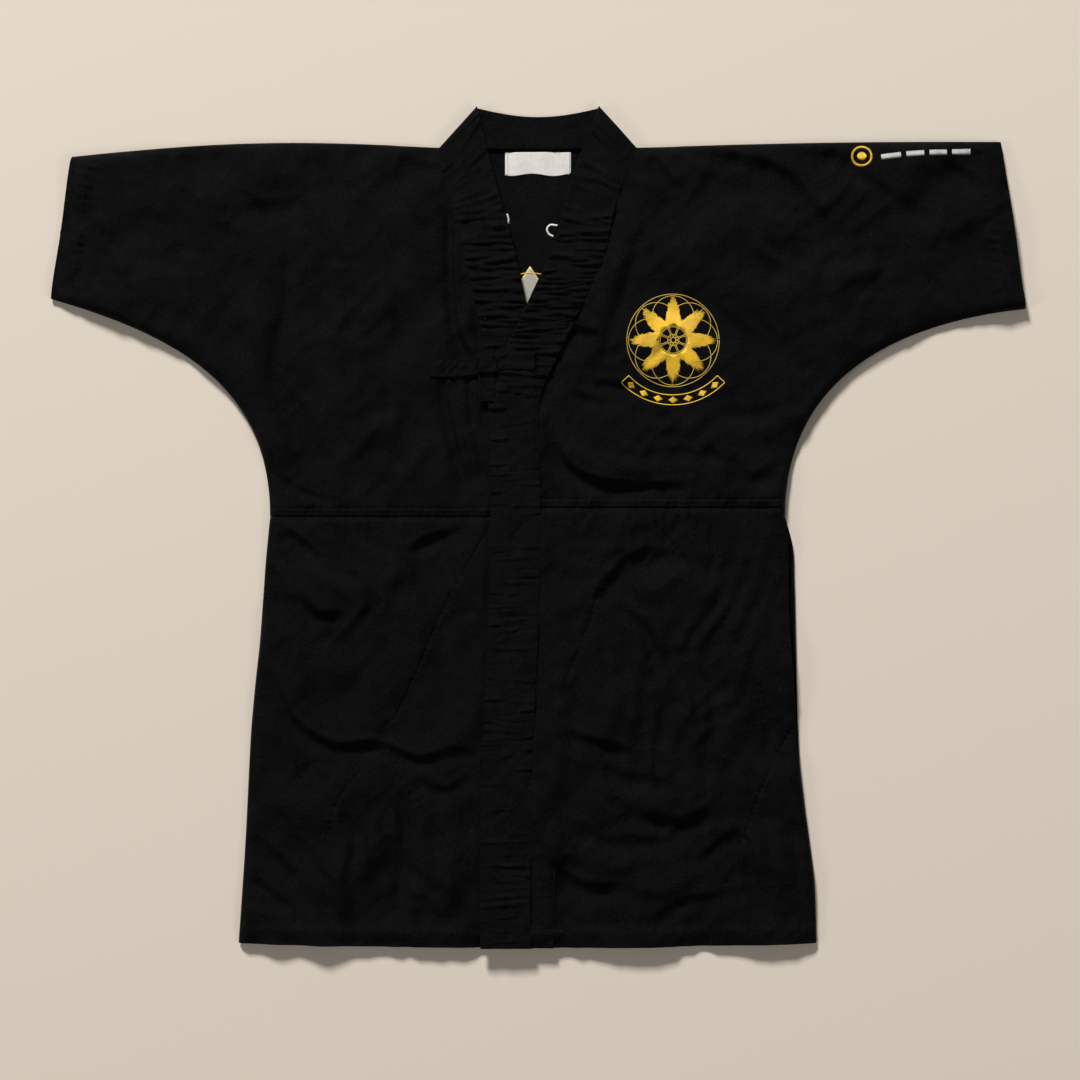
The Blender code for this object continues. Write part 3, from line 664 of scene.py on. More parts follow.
def settled(made):
    """The object with its modifiers applied."""
    bpy.context.view_layer.update()
    graph = bpy.context.evaluated_depsgraph_get()
    made.data = bpy.data.meshes.new_from_object(made.evaluated_get(graph))
    made.modifiers.clear()
    return made


BESIDE_ROW = (-0.0022, -0.0011, 0.0, 0.0011, 0.0022)    # where a panel has points for its stitching


def panel_points(outline, step, lines):
    """Points for a panel: its rim, rows just inside it, rows beside its stitching, a lattice."""
    rim = rounded(outline, step)
    inward = inward_of(rim)
    closed = np.vstack([rim, rim[:1]])
    rows = [rim + inward * step * share for share in (0.28, 0.70)]
    for line in lines:
        dense = even(line, step * 0.6)
        rows += [dense + left_of(dense) * away for away in BESIDE_ROW]
    low, high = rim.min(0), rim.max(0)
    levels = np.arange(low[1], high[1], step * math.sqrt(0.75))
    starts = low[0] + np.arange(len(levels)) % 2 * step / 2
    lattice = np.array([(x, y) for start, y in zip(starts, levels)
                        for x in np.arange(start, high[0], step)])
    lattice = lattice[inside(lattice, rim)]
    lattice = lattice[nearest(lattice, closed)[0] > step * 1.1]
    if len(lines):
        lattice = lattice[distance(lattice, lines) > step * 0.5 + BESIDE_ROW[-1]]
    extra = np.vstack(rows)
    extra = extra[inside(extra, rim)]
    extra = extra[nearest(extra, closed)[0] > step * 0.22]
    return rim, np.vstack([extra, lattice])


def panel(name, outline, top, material, step=None, lines=(), thick=None):
    """A closed sheet of cloth, cut to an outline and laid at the height that top gives."""
    step = step or settings().mesh_step
    rim, inner = panel_points(outline, step, lines)
    count = len(rim)
    edges = [(k, (k + 1) % count) for k in range(count)]
    points = [Vector(p) for p in np.vstack([rim, inner])]
    found = geometry.delaunay_2d_cdt(points, edges, [], 0, 1e-6, False)
    flat, faces = np.array(found[0]), np.array(found[2])
    faces = faces[inside(flat[faces].mean(axis=1), rim)]
    made = solid(name, np.column_stack([flat, top(flat)]), faces, material)
    if made.data.polygons[0].normal.z < 0:
        made.data.flip_normals()
    plies = made.modifiers.new("thickness", "SOLIDIFY")
    plies.thickness = thick or settings().cloth
    plies.offset = -1
    return settled(made)


def declare_sheet(made, outline):
    size = outline.max(0) - outline.min(0)
    area = min(area_of(outline), float(size[0] * size[1]))
    return made


def gathers(far, across, places, seed):
    """Short crosswise puckers, crowded where a band is gathered."""
    rng = np.random.default_rng(seed)
    total = np.zeros_like(far)
    for place, spread, number, height in places:
        for _ in range(number):
            at, wide = rng.normal(place, spread), rng.uniform(0.0008, 0.0022)
            lean, from_edge = rng.normal(0, 0.005), rng.choice((0.05, 0.2, 0.5, 0.8, 0.95))
            reach, tall = rng.uniform(0.12, 0.42), height * rng.uniform(0.4, 1.2)
            gap = (far - at - lean * (across - 0.5)) / wide
            window = np.exp(-((across - from_edge) / reach) ** 2)
            total += tall * window * (np.exp(-gap ** 2) - 0.5 * np.exp(-(gap - 1.9) ** 2))
    return np.clip(total, -0.0006, 0.0022)


def rows_between(seam, free, step=0.0014, fan=False, shy=0.0):
    """Matching points on a band's two edges, square across it once past the collar."""
    far_seam, far_free = lengths(seam), lengths(free)
    extra = far_free[-1] - far_seam[-1]
    at = np.linspace(shy, far_seam[-1] - shy, round(far_seam[-1] / step) + 1)
    other = at * (far_free[-1] / far_seam[-1]) if fan else at + extra * eased(at / 0.10)
    left = np.column_stack([np.interp(at, far_seam, seam[:, k]) for k in (0, 1)])
    right = np.column_stack([np.interp(other, far_free, free[:, k]) for k in (0, 1)])
    return left, right, at


UPPER_POINTS = 30         # across a band's upper face
UNDER_POINTS = 24         # and its lower one
SEAM_ROUND = 0.005        # how far in from its seam a band rises to its thickness
GROOVE = 0.0003           # how deep a band's stitches lie


def strip(name, sides, middle, material, places=(), seed=0, thick=None, inset=0.0, step=0.0014,
          fan=False):
    """A folded band: a closed ring round its width, its fold along the free edge."""
    thick = thick or settings().band_thick
    left, right, far = rows_between(*sides, step, fan, inset)
    wide = np.linalg.norm(right - left, axis=1).mean()
    shy, flank = inset / wide, thick / 2 / wide
    upper = shy + (1 - 2 * shy - flank) * np.linspace(0, 1, UPPER_POINTS) ** 1.3
    turns = np.linspace(math.pi / 2, -math.pi / 2, 7)[1:-1]
    round_end = 1 - shy - flank + flank * np.cos(turns)
    across = np.concatenate([upper, round_end, np.linspace(1 - shy - flank, shy, UNDER_POINTS)])
    sewn_down = np.ones(UPPER_POINTS)
    if places:
        sewn_down = 0.25 + 0.75 * quarter_round((upper - shy) * wide / SEAM_ROUND)
    level = np.concatenate([sewn_down, np.sin(turns), -np.ones(UNDER_POINTS)])
    flat = (left[:, None, :] * (1 - across)[None, :, None]
            + right[:, None, :] * across[None, :, None]).reshape(-1, 2)
    ring, count = len(across), len(far)
    rise = 0.0002 * waves(flat, seed + 5, 0.02)
    on_top = np.tile(np.clip(level, -0.2, 1) * 0.8 + 0.2, count)
    share = np.tile(across, count)
    if places:
        rise += gathers(np.repeat(far, ring), share, places, seed)
    height = middle(flat) + np.tile(level, count) * thick / 2 + rise * on_top
    if places:
        groove = sum(np.exp(-((share - at) / 0.02) ** 2) for at in BAND_ROWS)
        height -= GROOVE * groove * (on_top > 0.9)
    faces = [(r * ring + k, r * ring + (k + 1) % ring,
              (r + 1) * ring + (k + 1) % ring, (r + 1) * ring + k)
             for r in range(count - 1) for k in range(ring)]
    faces += [tuple(range(ring)), tuple(range((count - 1) * ring, count * ring))]
    return solid(name, np.column_stack([flat, height]), faces, material)


def threads(name, strokes, top, material, width, rise, tapered=True):
    """Stitches or embroidery: flat threads that follow the cloth."""
    flat, lift, faces, start = [], [], [], 0
    for path in strokes:
        left = left_of(path)
        t = np.linspace(0.04, 0.96, len(path))
        slim = np.sqrt(np.sin(np.pi * t)) if tapered else np.ones(len(path))
        side = left * (slim * width / 2)[:, None]
        flat.append(np.stack([path + side, path, path - side, path], axis=1).reshape(-1, 2))
        zero = np.zeros(len(path))
        lift.append(np.stack([zero, slim * rise, zero, zero - rise], axis=1).reshape(-1))
        for r in range(len(path) - 1):
            a = start + r * 4
            faces += [(a + k, a + (k + 1) % 4, a + 4 + (k + 1) % 4, a + 4 + k) for k in range(4)]
        end = start + (len(path) - 1) * 4
        faces += [(start + 3, start + 2, start + 1, start), (end, end + 1, end + 2, end + 3)]
        start += len(path) * 4
    flat, lift = np.vstack(flat), np.concatenate(lift)
    return solid(name, np.column_stack([flat, top(flat) + lift]), faces, material)


def lying_on(*pieces):
    """A height function that drops points onto pieces from above."""
    trees = [BVHTree.FromPolygons([v.co for v in made.data.vertices],
                                  [face.vertices for face in made.data.polygons])
             for made in pieces]

    def height(points):
        found = []
        for x, y in points:
            hits = [tree.ray_cast(Vector((x, y, 1.0)), Vector((0, 0, -1)))[0] for tree in trees]
            found.append(max((hit.z for hit in hits if hit), default=RIGHT_TOP))
        return np.array(found)
    return height


STITCH_PITCH = 1.45       # from one stitch to the next, in stitch lengths


def stitches_along(rows):
    """Short strokes end to end along rows."""
    size = settings().stitch_length
    found = []
    for row in rows:
        far = lengths(row)
        for start in np.arange(size / 2, far[-1] - size, size * STITCH_PITCH):
            at = start + np.linspace(0, size, 4)
            found.append(np.column_stack([np.interp(at, far, row[:, k]) for k in (0, 1)]))
    return found


def kept_inside(rows, outline, margin=0.002):
    """The stretches of rows that lie within an outline."""
    closed = np.vstack([outline, outline[:1]])
    found = []
    for row in rows:
        dense = even(row, 0.002)
        good = inside(dense, outline) & (nearest(dense, closed)[0] > margin)
        if good.sum() > 3:
            found.append(dense[good])
    return found


def bend_at_fold(made):
    """Cloth that crosses the left front's fold."""
    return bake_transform(made)


def lining(node, top, inset=0.0):
    """A hidden piece, cut to a fixed piece's outline and laid at a height."""
    outline = outline_of(node)
    if inset:
        outline = even(np.vstack([outline, outline[:1]]), 0.004)[:-1]
        outline = outline + inward_of(outline) * inset
    made = panel("inner_" + node, outline, top, canvas(), step=0.006, thick=0.0006)
    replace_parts(made, node)
    return made


def over_back(points):
    return back_top(points) + 0.0008


def under_right(points):
    return right_top(points) - settings().cloth - 0.0002


def under_left(points):
    return left_top(points) - settings().cloth - 0.0002


# Materials

class Shade:
    """A socket in a material, with arithmetic."""

    def __init__(self, tree, socket=None):
        self.tree = tree
        self.socket = socket

    def put(self, kind, options=None, sockets=None, output=0):
        """Adds a node: its options are set first, then its inputs, by name or place."""
        node = self.tree.nodes.new(kind)
        for key, value in (options or {}).items():
            setattr(node, key, value)
        for key, value in (sockets or {}).items():
            if isinstance(value, Shade):
                self.tree.links.new(value.socket, node.inputs[key])
            else:
                node.inputs[key].default_value = value
        return Shade(self.tree, node.outputs[output])

    def maths(self, operation, *values):
        return self.put("ShaderNodeMath", {"operation": operation}, dict(enumerate(values)))

    def __add__(self, other):
        return self.maths("ADD", self, other)

    def __sub__(self, other):
        return self.maths("SUBTRACT", self, other)

    def __mul__(self, other):
        return self.maths("MULTIPLY", self, other)

    def __rsub__(self, other):
        return self.maths("SUBTRACT", other, self)

    __radd__ = __add__
    __rmul__ = __mul__

    def sine(self):
        return self.maths("SINE", self)

    def mixed(self, low, high):
        """low where this is 0 and high where it is 1, for colours."""
        return self.put("ShaderNodeMix", {"data_type": "RGBA"},
                        {"Factor": self, 6: (*low, 1.0), 7: (*high, 1.0)}, output=2)


def new_material(name, colour, roughness, finish=None, **fixed):
    """A material with a colour; finish gets its coordinates and returns colour and relief."""
    if name in bpy.data.materials:
        return bpy.data.materials[name]
    material = bpy.data.materials.new(name)
    material.use_nodes = True
    tree = material.node_tree
    shader = tree.nodes["Principled BSDF"]
    shader.inputs["Base Color"].default_value = (*colour, 1.0)
    shader.inputs["Roughness"].default_value = roughness
    for key, value in fixed.items():
        shader.inputs[key.replace("_", " ")].default_value = value
    if finish:
        place = Shade(tree).put("ShaderNodeTexCoord", output=3)
        tint, relief, depth = finish(place, colour)
        bump = place.put("ShaderNodeBump", {}, {"Height": relief, "Distance": depth,
                                                "Strength": 1.0})
        tree.links.new(tint.socket, shader.inputs["Base Color"])
        tree.links.new(bump.socket, shader.inputs["Normal"])
    return material


def noise(place, scale, detail=2.0):
    return place.put("ShaderNodeTexNoise", {}, {"Vector": place, "Scale": scale,
                                                "Detail": detail, "Roughness": 0.6})


def canvas_finish(place, colour):
    """Plain weave with a brushed, slightly uneven dye."""
    parts = place.put("ShaderNodeSeparateXYZ", {}, {"Vector": place})
    x = parts
    y = Shade(place.tree, parts.socket.node.outputs[1])
    weave = (x * 5200.0).sine() * (y * 5200.0).sine()
    relief = weave * 0.3 + noise(place, 420.0, 3.0) * 1.4 + noise(place, 90.0, 3.0) * 1.2
    deep, faded = (tuple(share * c for c in colour) for share in (0.22, 2.15))
    worn = noise(place, 40.0, 4.0) * 0.9 + noise(place, 700.0, 2.0) * 2.4 - 1.25
    return worn.mixed(deep, faded), relief, 0.00052


def thread_finish(place, colour):
    relief = noise(place, 1500.0, 2.0)
    return noise(place, 300.0, 2.0).mixed(tuple(0.7 * c for c in colour), colour), relief, 0.0002


def canvas():
    return new_material("black_canvas", settings().canvas_colour, 0.60, canvas_finish,
                        Sheen_Weight=0.004, Sheen_Roughness=0.4, Specular_IOR_Level=0.035)


def canvas_thread():
    return new_material("black_thread", settings().thread_colour, 0.70,
                        Specular_IOR_Level=0.12)


def interlining():
    return new_material("stiff_cotton", settings().lining_colour, 0.95, thread_finish)


def label_satin():
    return new_material("blank_satin", settings().label_colour, 0.55, thread_finish,
                        Sheen_Weight=0.2)


def needle_thread(name, colour):
    return new_material(name, colour, 0.52, thread_finish, Sheen_Weight=0.15)


# The jacket's pieces

MADE = {}      # visible pieces by name, for what is sewn on them afterwards


ACROSS = "across the fold"


def kept(made, body="root"):
    """Keeps a finished piece by name, and attaches it to the body that it moves with, or bakes the
    transform of one that crosses the fold.
    """
    if body == ACROSS:
        bend_at_fold(made)
    else:
        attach(made, body)
    MADE[made.name] = made
    return made


class JACKET_OT_back(bpy.types.Operator):
    """Lay out the back, in its upper part and its skirt"""

    bl_idname = "jacket.back"
    bl_label = "Back"

    def execute(self, context):
        for part in ("upper", "skirt"):
            outline = outline_of("back_" + part)
            made = panel("canvas_back_" + part, outline, back_top, canvas())
            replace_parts(made, "back_" + part)
            declare_sheet(made, outline)
            kept(made)
        return {"FINISHED"}


class JACKET_OT_right_front(bpy.types.Operator):
    """Lay the right front over the back"""

    bl_idname = "jacket.right_front"
    bl_label = "Right front"

    def execute(self, context):
        for part in ("upper", "skirt"):
            outline = outline_of("right_front_" + part)
            made = panel("canvas_right_" + part, outline, right_top, canvas(),
                         lines=kept_inside(RIGHT.stitched, outline))
            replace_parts(made, "right_front_" + part)
            declare_sheet(made, outline)
            kept(made)
        return {"FINISHED"}


VENT = ((-0.432, 0.0), (-0.240, 0.0), (-0.160, 0.003), (-0.080, 0.006), (-0.030, 0.005),
        (0.012, 0.0))        # how far the left front's side edge is drawn in, by height


def vented(outline):
    """The left skirt with its side edge drawn in, so that the back shows beside it."""
    waist = outline[:, 1].max()
    side = outline[np.argmax(outline @ (9, 1))]
    drawn = np.interp(outline[:, 1], *zip(*VENT))
    near = eased((outline[:, 0] - (side[0] - 0.12)) / 0.06) * (outline[:, 1] < waist - 0.001)
    return outline - np.column_stack([drawn * near, np.zeros(len(outline))])


class JACKET_OT_left_front(bpy.types.Operator):
    """Lay the left front over the right one"""

    bl_idname = "jacket.left_front"
    bl_label = "Left front"

    def execute(self, context):
        for part in ("upper", "skirt"):
            nodes = ("left_front_" + part, "left_lapel_" + part)
            outline = joined(*map(outline_of, nodes))
            if part == "skirt":
                outline = vented(outline)
            made = panel("canvas_left_" + part, outline, left_top, canvas(),
                         lines=kept_inside(LEFT.stitched, outline))
            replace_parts(made, *nodes)
            declare_sheet(made, outline)
            kept(made, ACROSS)
        return {"FINISHED"}


# The neck band

BAND_END = 0.0056         # middle of a band where it turns over at the collar's corner


def band_turn(points, side):
    """0 at the slanted fold beside the neck, 1 beyond it."""
    fold = np.array([NECK[side], TIP[side]])
    return quarter_round(nearest(points, fold)[0] / 0.012)


def collar_middle(points):
    low = [1 - band_turn(points, side) for side in (-1, 1)]
    seam = 1 - eased((points[:, 1] - NECK[1][1]) / 0.010)
    return 0.0019 + 0.0007 * np.maximum(seam, np.maximum(*low)) + 0.0002 * waves(points, 71, 0.05)


def right_band_middle(points):
    base = 0.0091 + 0.0004 * waves(points, 61, 0.06) * shown(points)
    return BAND_END + (base - BAND_END) * band_turn(points, -1)


def left_band_middle(points):
    base = left_base(points) - 0.0004 + 0.0004 * waves(points, 62, 0.06)
    return BAND_END + (base - BAND_END) * band_turn(points, 1)


def collar_sides():
    top = way_round(COLLAR, TIP[-1], TIP[1], NECK[1])
    seam = np.linspace(NECK[-1], NECK[1], 40)
    seam[:, 1] -= 0.0014 * np.sin(np.linspace(0, np.pi, 40)) ** 0.3
    return seam, smooth(top)


class JACKET_OT_bands(bpy.types.Operator):
    """Sew the gathered band that runs round the neck and down both fronts"""

    bl_idname = "jacket.bands"
    bl_label = "Bands"

    def execute(self, context):
        collar = strip("band_collar", collar_sides(), collar_middle, canvas(), fan=True,
                       places=((0.05, 0.03, 6, 0.0004), (0.14, 0.03, 6, 0.0004)), seed=5)
        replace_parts(collar, "collar_back")
        right = strip("band_right", RIGHT.sides, right_band_middle, canvas(), RIGHT_GATHERS, 2)
        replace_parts(right, "right_band")
        left = strip("band_left", LEFT.sides, left_band_middle, canvas(), LEFT_GATHERS, 3)
        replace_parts(left, "left_band", "left_band_neck")
        for made, body in ((collar, "root"), (right, "root"), (left, ACROSS)):
            kept(made, body)
        return {"FINISHED"}


CORE_THICK = 0.0005
CORE_INSET = 0.0045       # from each edge and end of a band to its interlining


class JACKET_OT_interlinings(bpy.types.Operator):
    """Put the stiff cotton inside the bands"""

    bl_idname = "jacket.interlinings"
    bl_label = "Interlinings"

    def execute(self, context):
        def core(name, sides, middle, fan=False):
            def lowered(points):
                return middle(points) - CORE_THICK
            return strip("core_" + name, sides, lowered, interlining(), thick=CORE_THICK,
                         inset=CORE_INSET, step=0.002, fan=fan)

        collar = core("collar", collar_sides(), collar_middle, fan=True)
        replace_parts(kept(collar), "collar_back_core")
        right = core("right", RIGHT.sides, right_band_middle)
        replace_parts(kept(right), "right_band_core")
        left = core("left", LEFT.sides, left_band_middle)
        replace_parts(left, "left_band_core", "left_band_neck_core")
        kept(left, ACROSS)
        return {"FINISHED"}


class JACKET_OT_seams(bpy.types.Operator):
    """Add the seam allowances, tapes and turned-in hems between the layers"""

    bl_idname = "jacket.seams"
    bl_label = "Seams and hems"

    def execute(self, context):
        shy = 0.0022      # keeps a side seam or a tape inside the edge that it follows
        groups = (
            (over_back, 0.0, ("back_waist_seam", "back_hem", "right_cuff_hem_back",
                              "left_cuff_hem_back")),
            (over_back, shy, ("right_side_seam", "left_side_seam", "right_skirt_seam",
                              "left_skirt_seam")),
            (under_right, 0.0, ("right_waist_seam", "right_hem", "right_cuff_hem_front")),
            (under_left, 0.0, ("left_waist_seam", "left_hem", "left_cuff_hem_front",
                               "left_lapel_waist_seam", "left_lapel_hem")),
            (tape_top, shy, ("right_shoulder_tape", "left_shoulder_tape")),
        )
        for top, inset, nodes in groups:
            for node in nodes:
                made = lining(node, top, inset)
                kept(made, ACROSS if "lapel" in node else "root")
        return {"FINISHED"}


def tape_top(points):
    """Just above the back, and above the collar where the tape passes the neck."""
    high = eased((points[:, 1] - NECK[1][1] + 0.004) / 0.006)
    near_neck = eased((NECK[1][0] + 0.012 - np.abs(points[:, 0])) / 0.01)
    collar = collar_middle(points) + settings().band_thick / 2 + 0.0008
    return over_back(points) + (collar - over_back(points)) * high * near_neck


# The tie

def tape(name, path, width, level, seed, thick=0.0012):
    """A length of the tie's tape, with its middle at a level."""
    path = smooth(path, 0.0015)
    aside = left_of(path) * width / 2

    def middle(points):
        return level + 0.00025 * waves(points, seed, 0.012)

    return strip(name, (path + aside, path - aside), middle, canvas(), seed=seed, thick=thick,
                 places=((0.012, 0.012, 5, 0.0004),), step=0.0009)


class JACKET_OT_ties(bpy.types.Operator):
    """Knot the tape that holds the fronts together"""

    bl_idname = "jacket.ties"
    bl_label = "Tie"

    def execute(self, context):
        strap = tape("tie_strap_tape", ((-0.108, 0.1590), (-0.085, 0.1588), (-0.058, 0.1612)),
                     width=0.0165, level=0.0112, seed=31)
        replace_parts(strap, "right_tie_strap", "right_tie_anchor")
        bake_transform(strap)
        tail = tape("tie_tail_down", ((-0.051, 0.162), (-0.0515, 0.145), (-0.052, 0.1255)),
                    width=0.0165, level=0.0146, seed=32)
        loop = tape("tie_loop_across", ((-0.047, 0.1650), (-0.025, 0.1665), (-0.003, 0.1658)),
                    width=0.0170, level=0.0150, seed=33, thick=0.0022)
        knot = tape("tie_knot_wrap", ((-0.0545, 0.1745), (-0.0505, 0.1650), (-0.0500, 0.1545)),
                    width=0.0190, level=0.0164, seed=34, thick=0.0030)
        for made, node in ((tail, "tie_end_down"), (loop, "tie_end_across"), (knot, "tie_knot")):
            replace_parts(made, node)
            kept(made, "left_lapel")
        return {"FINISHED"}


# Label and needlework

def disc_of(node):
    """The centre and the radius of a round flat piece."""
    low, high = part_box(node)
    return np.array([(low.x + high.x) / 2, (low.y + high.y) / 2]), (high.x - low.x) / 2


def star(centre, outer, inner, points):
    turn = math.pi / 2 + np.arange(points * 2) * math.pi / points
    radius = np.where(np.arange(points * 2) % 2, inner, outer)
    return centre + radius[:, None] * np.column_stack([np.cos(turn), np.sin(turn)])


def satin(outline_a, outline_b, gap=0.00055):
    """Parallel stitches from one edge to another."""
    count = max(3, round(max(lengths(outline_a)[-1], lengths(outline_b)[-1]) / gap))
    a = even(outline_a, lengths(outline_a)[-1] / count)
    b = even(outline_b, lengths(outline_b)[-1] / count)
    return [np.linspace(p, q, 4) for p, q in zip(a, b) if np.linalg.norm(p - q) > 0.0004]


class JACKET_OT_label(bpy.types.Operator):
    """Sew the blank woven label and the facing of the back's needlework inside the neck"""

    bl_idname = "jacket.label"
    bl_label = "Label"

    def execute(self, context):
        low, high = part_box("neck_label")
        across = np.linspace(low.x, high.x, 24)
        wavy = low.y - 0.0004 - 0.0012 * np.sin((across - low.x) * 150 + 0.6)
        outline = np.vstack([np.column_stack([across, wavy]),
                             [(high.x, high.y), (0.0, high.y + 0.0004), (low.x, high.y)]])

        def top(points):
            return back_top(points) + 0.0006 + 0.0002 * np.sin(points[:, 0] * 260)

        label = panel("label_blank", outline, top, label_satin(), step=0.002, thick=0.00035)
        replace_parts(label, "neck_label")
        kept(label)
        cloth = MADE["canvas_back_upper"]
        centre, radius = disc_of("back_emblem_backing")
        facing = panel("backing_star", star(centre, radius, radius * 0.66, 8), over_back,
                       interlining(), step=0.004, thick=0.0005)
        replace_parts(facing, "back_emblem_backing")
        kept(facing)
        rim = star(centre, radius * 1.01, radius * 0.67, 8)
        ring = [circle_of(centre, radius * 0.90, 120), even(np.vstack([rim, rim[:1]]), 0.003)]
        made = threads("backing_ring", ring, lying_on(facing, cloth),
                       needle_thread("yellow_floss", settings().yellow), 0.0010, 0.0004,
                       tapered=False)
        kept(made)
        ends = [smooth([(-0.0312, 0.3145), (-0.0296, 0.3095), (-0.0300, 0.3045)], 0.001),
                smooth([(0.0195, 0.3028), (0.0125, 0.3034), (0.0092, 0.2996), (0.0108, 0.2945),
                        (0.0155, 0.2918)], 0.001)]
        for x in (-0.0318, 0.0302):
            edge = np.array([(x, 0.3545), (x, 0.3755)])
            ends += satin(edge, edge + (0.0016, 0.0), 0.0016)
        made = threads("tacking_white", ends, lying_on(label, cloth),
                       needle_thread("white_floss", settings().white), 0.0022, 0.0005,
                       tapered=False)
        kept(made)
        return {"FINISHED"}


EMBLEM_POINTS = 8
BANNER_DROP = 0.006       # from the emblem's centre to the banner's
BANNER_OUTER = 0.071
BANNER_EDGES = (0.0605, 0.0705)
BANNER_MIDDLE = 0.0655
SLEEVE_BARS = (((0.343, 0.3700), (0.362, 0.3722)), ((0.368, 0.3728), (0.385, 0.3738)),
               ((0.391, 0.3742), (0.408, 0.3748)), ((0.414, 0.3752), (0.432, 0.3756)))


def emblem_rays(centre, radius):
    """Stitches that run outwards and make pointed rays."""
    rng = np.random.default_rng(8)
    strokes = []
    for turn in np.linspace(0, 2 * math.pi, 300, endpoint=False):
        pointed = abs(math.cos(EMBLEM_POINTS / 2 * turn)) ** 2.2
        reach = 0.50 + 0.46 * pointed - rng.uniform(0, 0.10)
        strokes.append(np.linspace(centre + towards(turn) * radius * 0.30,
                                   centre + towards(turn) * radius * reach, 8))
    return strokes


def emblem_rings(centre, radius):
    rings = [circle_of(centre, radius * share, 100) for share in (0.985, 0.28, 0.12)]
    for k in range(EMBLEM_POINTS):
        out = towards(k * 2 * math.pi / EMBLEM_POINTS)
        rings.append(circle_of(centre + out * radius * 0.50, radius * 0.45, 60))
    return rings


def banner_edges(middle, span):
    bottom = -math.pi / 2
    arcs = [circle_of(middle, r, 60, bottom - span, bottom + span) for r in BANNER_EDGES]
    return arcs + [np.linspace(arcs[0][k], arcs[1][k], 8) for k in (0, -1)]


def banner_lozenges(middle, span):
    strokes = []
    for k in range(7):
        out = towards(-math.pi / 2 + span * 0.84 * (k / 3 - 1))
        across = np.array([-out[1], out[0]]) * 0.0050
        at = middle + out * BANNER_MIDDLE
        near, far = at - out * 0.0032, at + out * 0.0032
        strokes += satin(np.array([near, at + across]), np.array([near, at - across]), 0.0006)
        strokes += satin(np.array([at + across, far]), np.array([at - across, far]), 0.0006)
    return strokes


def sleeve_ring(centre, radius):
    wall = satin(circle_of(centre, radius * 0.97), circle_of(centre, radius * 0.76), 0.0007)
    return wall + satin(circle_of(centre, radius * 0.40, 40, 0, math.pi),
                        circle_of(centre, radius * 0.40, 40, 2 * math.pi, math.pi), 0.0006)


def sleeve_bars():
    bars = []
    for ends in map(np.array, SLEEVE_BARS):
        shift = left_of(ends) * 0.0028
        bars += satin(ends + shift, ends - shift, 0.0007)
    return bars


class JACKET_OT_needlework(bpy.types.Operator):
    """Embroider the sunburst and its banner on the chest, and the ring on the sleeve"""

    bl_idname = "jacket.needlework"
    bl_label = "Needlework"

    def execute(self, context):
        cloth = lying_on(MADE["canvas_left_upper"])
        yellow = needle_thread("yellow_floss", settings().yellow)
        pale = needle_thread("pale_floss", settings().pale_yellow)
        white = needle_thread("white_floss", settings().white)
        centre, radius = disc_of("chest_emblem")
        middle = centre + (0, BANNER_DROP)
        span = math.asin(disc_of("chest_banner")[1] / BANNER_OUTER)
        rays = threads("emblem_rays", emblem_rays(centre, radius), cloth, yellow, 0.0009, 0.0004)
        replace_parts(rays, "chest_emblem")
        rings = threads("emblem_rings", emblem_rings(centre, radius), cloth, pale, 0.0007,
                        0.0005, tapered=False)
        edge = threads("banner_edge", banner_edges(middle, span), cloth, yellow, 0.0010, 0.0005,
                       tapered=False)
        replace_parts(edge, "chest_banner")
        lozenges = threads("banner_lozenges", banner_lozenges(middle, span), cloth, yellow,
                           0.0007, 0.0004)
        ring = threads("sleeve_ring_thread", sleeve_ring(*disc_of("sleeve_ring")), cloth, yellow,
                       0.0007, 0.0004)
        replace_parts(ring, "sleeve_ring")
        bars = threads("sleeve_bars", sleeve_bars(), cloth, white, 0.0007, 0.0004)
        for made in (rays, rings, edge, lozenges, ring, bars):
            kept(made)
        return {"FINISHED"}


class JACKET_OT_stitching(bpy.types.Operator):
    """Sew the rows of stitches along the seams, hems, quilting and bands"""

    bl_idname = "jacket.stitching"
    bl_label = "Stitching"

    def execute(self, context):
        def sew(name, rows, cloths, body):
            made = threads("stitches_" + name, stitches_along(rows), lying_on(*cloths),
                           canvas_thread(), settings().stitch_width, 0.0003)
            kept(made, body)

        for name, front, body in (("right", RIGHT, "root"), ("left", LEFT, ACROSS)):
            rows = []
            for part in ("upper", "skirt"):
                outline = outline_of(name + "_front_" + part)
                if front is LEFT:
                    outline = joined(outline, outline_of("left_lapel_" + part))
                rows += kept_inside(front.stitched, outline, 0.003)
            sew(name + "_front", rows,
                [MADE["canvas_" + name + part] for part in ("_upper", "_skirt")], body)
        for name, front, body in (("right", RIGHT, "root"), ("left", LEFT, ACROSS)):
            near, far, _ = rows_between(*front.sides, 0.003)
            rows = [(near * (1 - share) + far * share)[3:-1] for share in BAND_ROWS]
            sew("band_" + name, rows, [MADE["band_" + name]], body)
        return {"FINISHED"}


# The stage

LAMPS = (("lamp_top", (-2.5, 8.1, 4.6), 1.6, 1420.0),
         ("lamp_left", (-6.4, -1.6, 3.6), 1.6, 90.0),
         ("lamp_right", (5.4, -4.0, 5.4), 2.6, 110.0))
CAMERA = (0.002, -0.0125, 2.4)
CLOTH_LEVEL = 0.008
VIEW_WIDTH = 1.08         # what the camera sees at the cloth's level


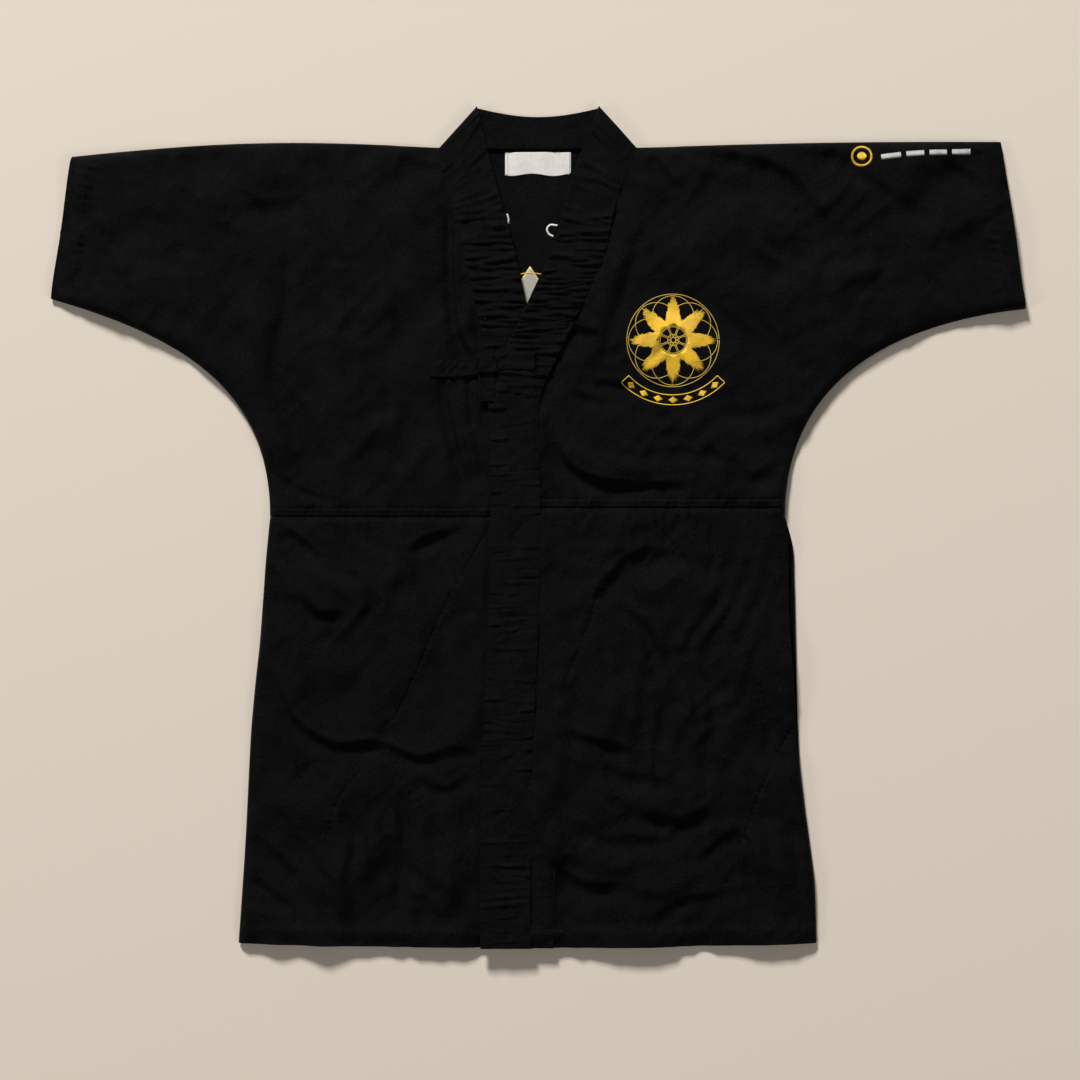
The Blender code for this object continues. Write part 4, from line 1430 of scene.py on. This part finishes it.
class JACKET_OT_stage(bpy.types.Operator):
    """Set the floor, the lights and the camera straight above"""

    bl_idname = "jacket.stage"
    bl_label = "Stage"

    def execute(self, context):
        bpy.ops.mesh.primitive_plane_add(size=8.0, location=(0, 0, -0.0002))
        floor = context.object
        floor.name = "pale_floor"
        floor.data.materials.append(new_material("pale_floor", settings().floor_colour, 0.95))
        for name, place, size, power in LAMPS:
            light = bpy.data.lights.new(name, "AREA")
            light.size, light.energy = size, power
            lamp = bpy.data.objects.new(name, light)
            lamp.location = place
            lamp.rotation_euler = (-Vector(place)).to_track_quat("-Z", "Y").to_euler()
            context.scene.collection.objects.link(lamp)
        world = bpy.data.worlds.new("room")
        world.use_nodes = True
        glow = world.node_tree.nodes["Background"].inputs
        glow["Color"].default_value = (1.0, 0.97, 0.93, 1.0)
        glow["Strength"].default_value = 0.10
        context.scene.world = world
        lens = bpy.data.cameras.new("above")
        camera = bpy.data.objects.new("above", lens)
        lens.sensor_width = 36.0
        camera.location = CAMERA
        lens.lens = lens.sensor_width * (CAMERA[2] - CLOTH_LEVEL) / VIEW_WIDTH
        context.scene.collection.objects.link(camera)
        context.scene.camera = camera
        context.scene.view_settings.view_transform = "Standard"
        return {"FINISHED"}


STEPS = (JACKET_OT_back, JACKET_OT_right_front, JACKET_OT_left_front, JACKET_OT_bands,
         JACKET_OT_interlinings, JACKET_OT_seams, JACKET_OT_ties, JACKET_OT_label,
         JACKET_OT_needlework, JACKET_OT_stitching, JACKET_OT_stage)


class JACKET_PT_panel(bpy.types.Panel):
    """Sizes, colours and pieces of the jacket"""

    bl_label = "Jacket"
    bl_idname = "JACKET_PT_panel"
    bl_space_type = "VIEW_3D"
    bl_region_type = "UI"
    bl_category = "Jacket"

    def draw(self, context):
        for key in JacketSettings.__annotations__:
            self.layout.prop(context.scene.jacket, key)
        for step in STEPS:
            self.layout.operator(step.bl_idname)


CLASSES = (JacketSettings, *STEPS, JACKET_PT_panel)


def register():
    for kind in CLASSES:
        bpy.utils.register_class(kind)
    bpy.types.Scene.jacket = bpy.props.PointerProperty(type=JacketSettings)


def unregister():
    del bpy.types.Scene.jacket
    for kind in reversed(CLASSES):
        bpy.utils.unregister_class(kind)


def main():
    register()
    for step in STEPS:
        group, name = step.bl_idname.split(".")
        getattr(getattr(bpy.ops, group), name)()


if __name__ == "__main__":
    main()
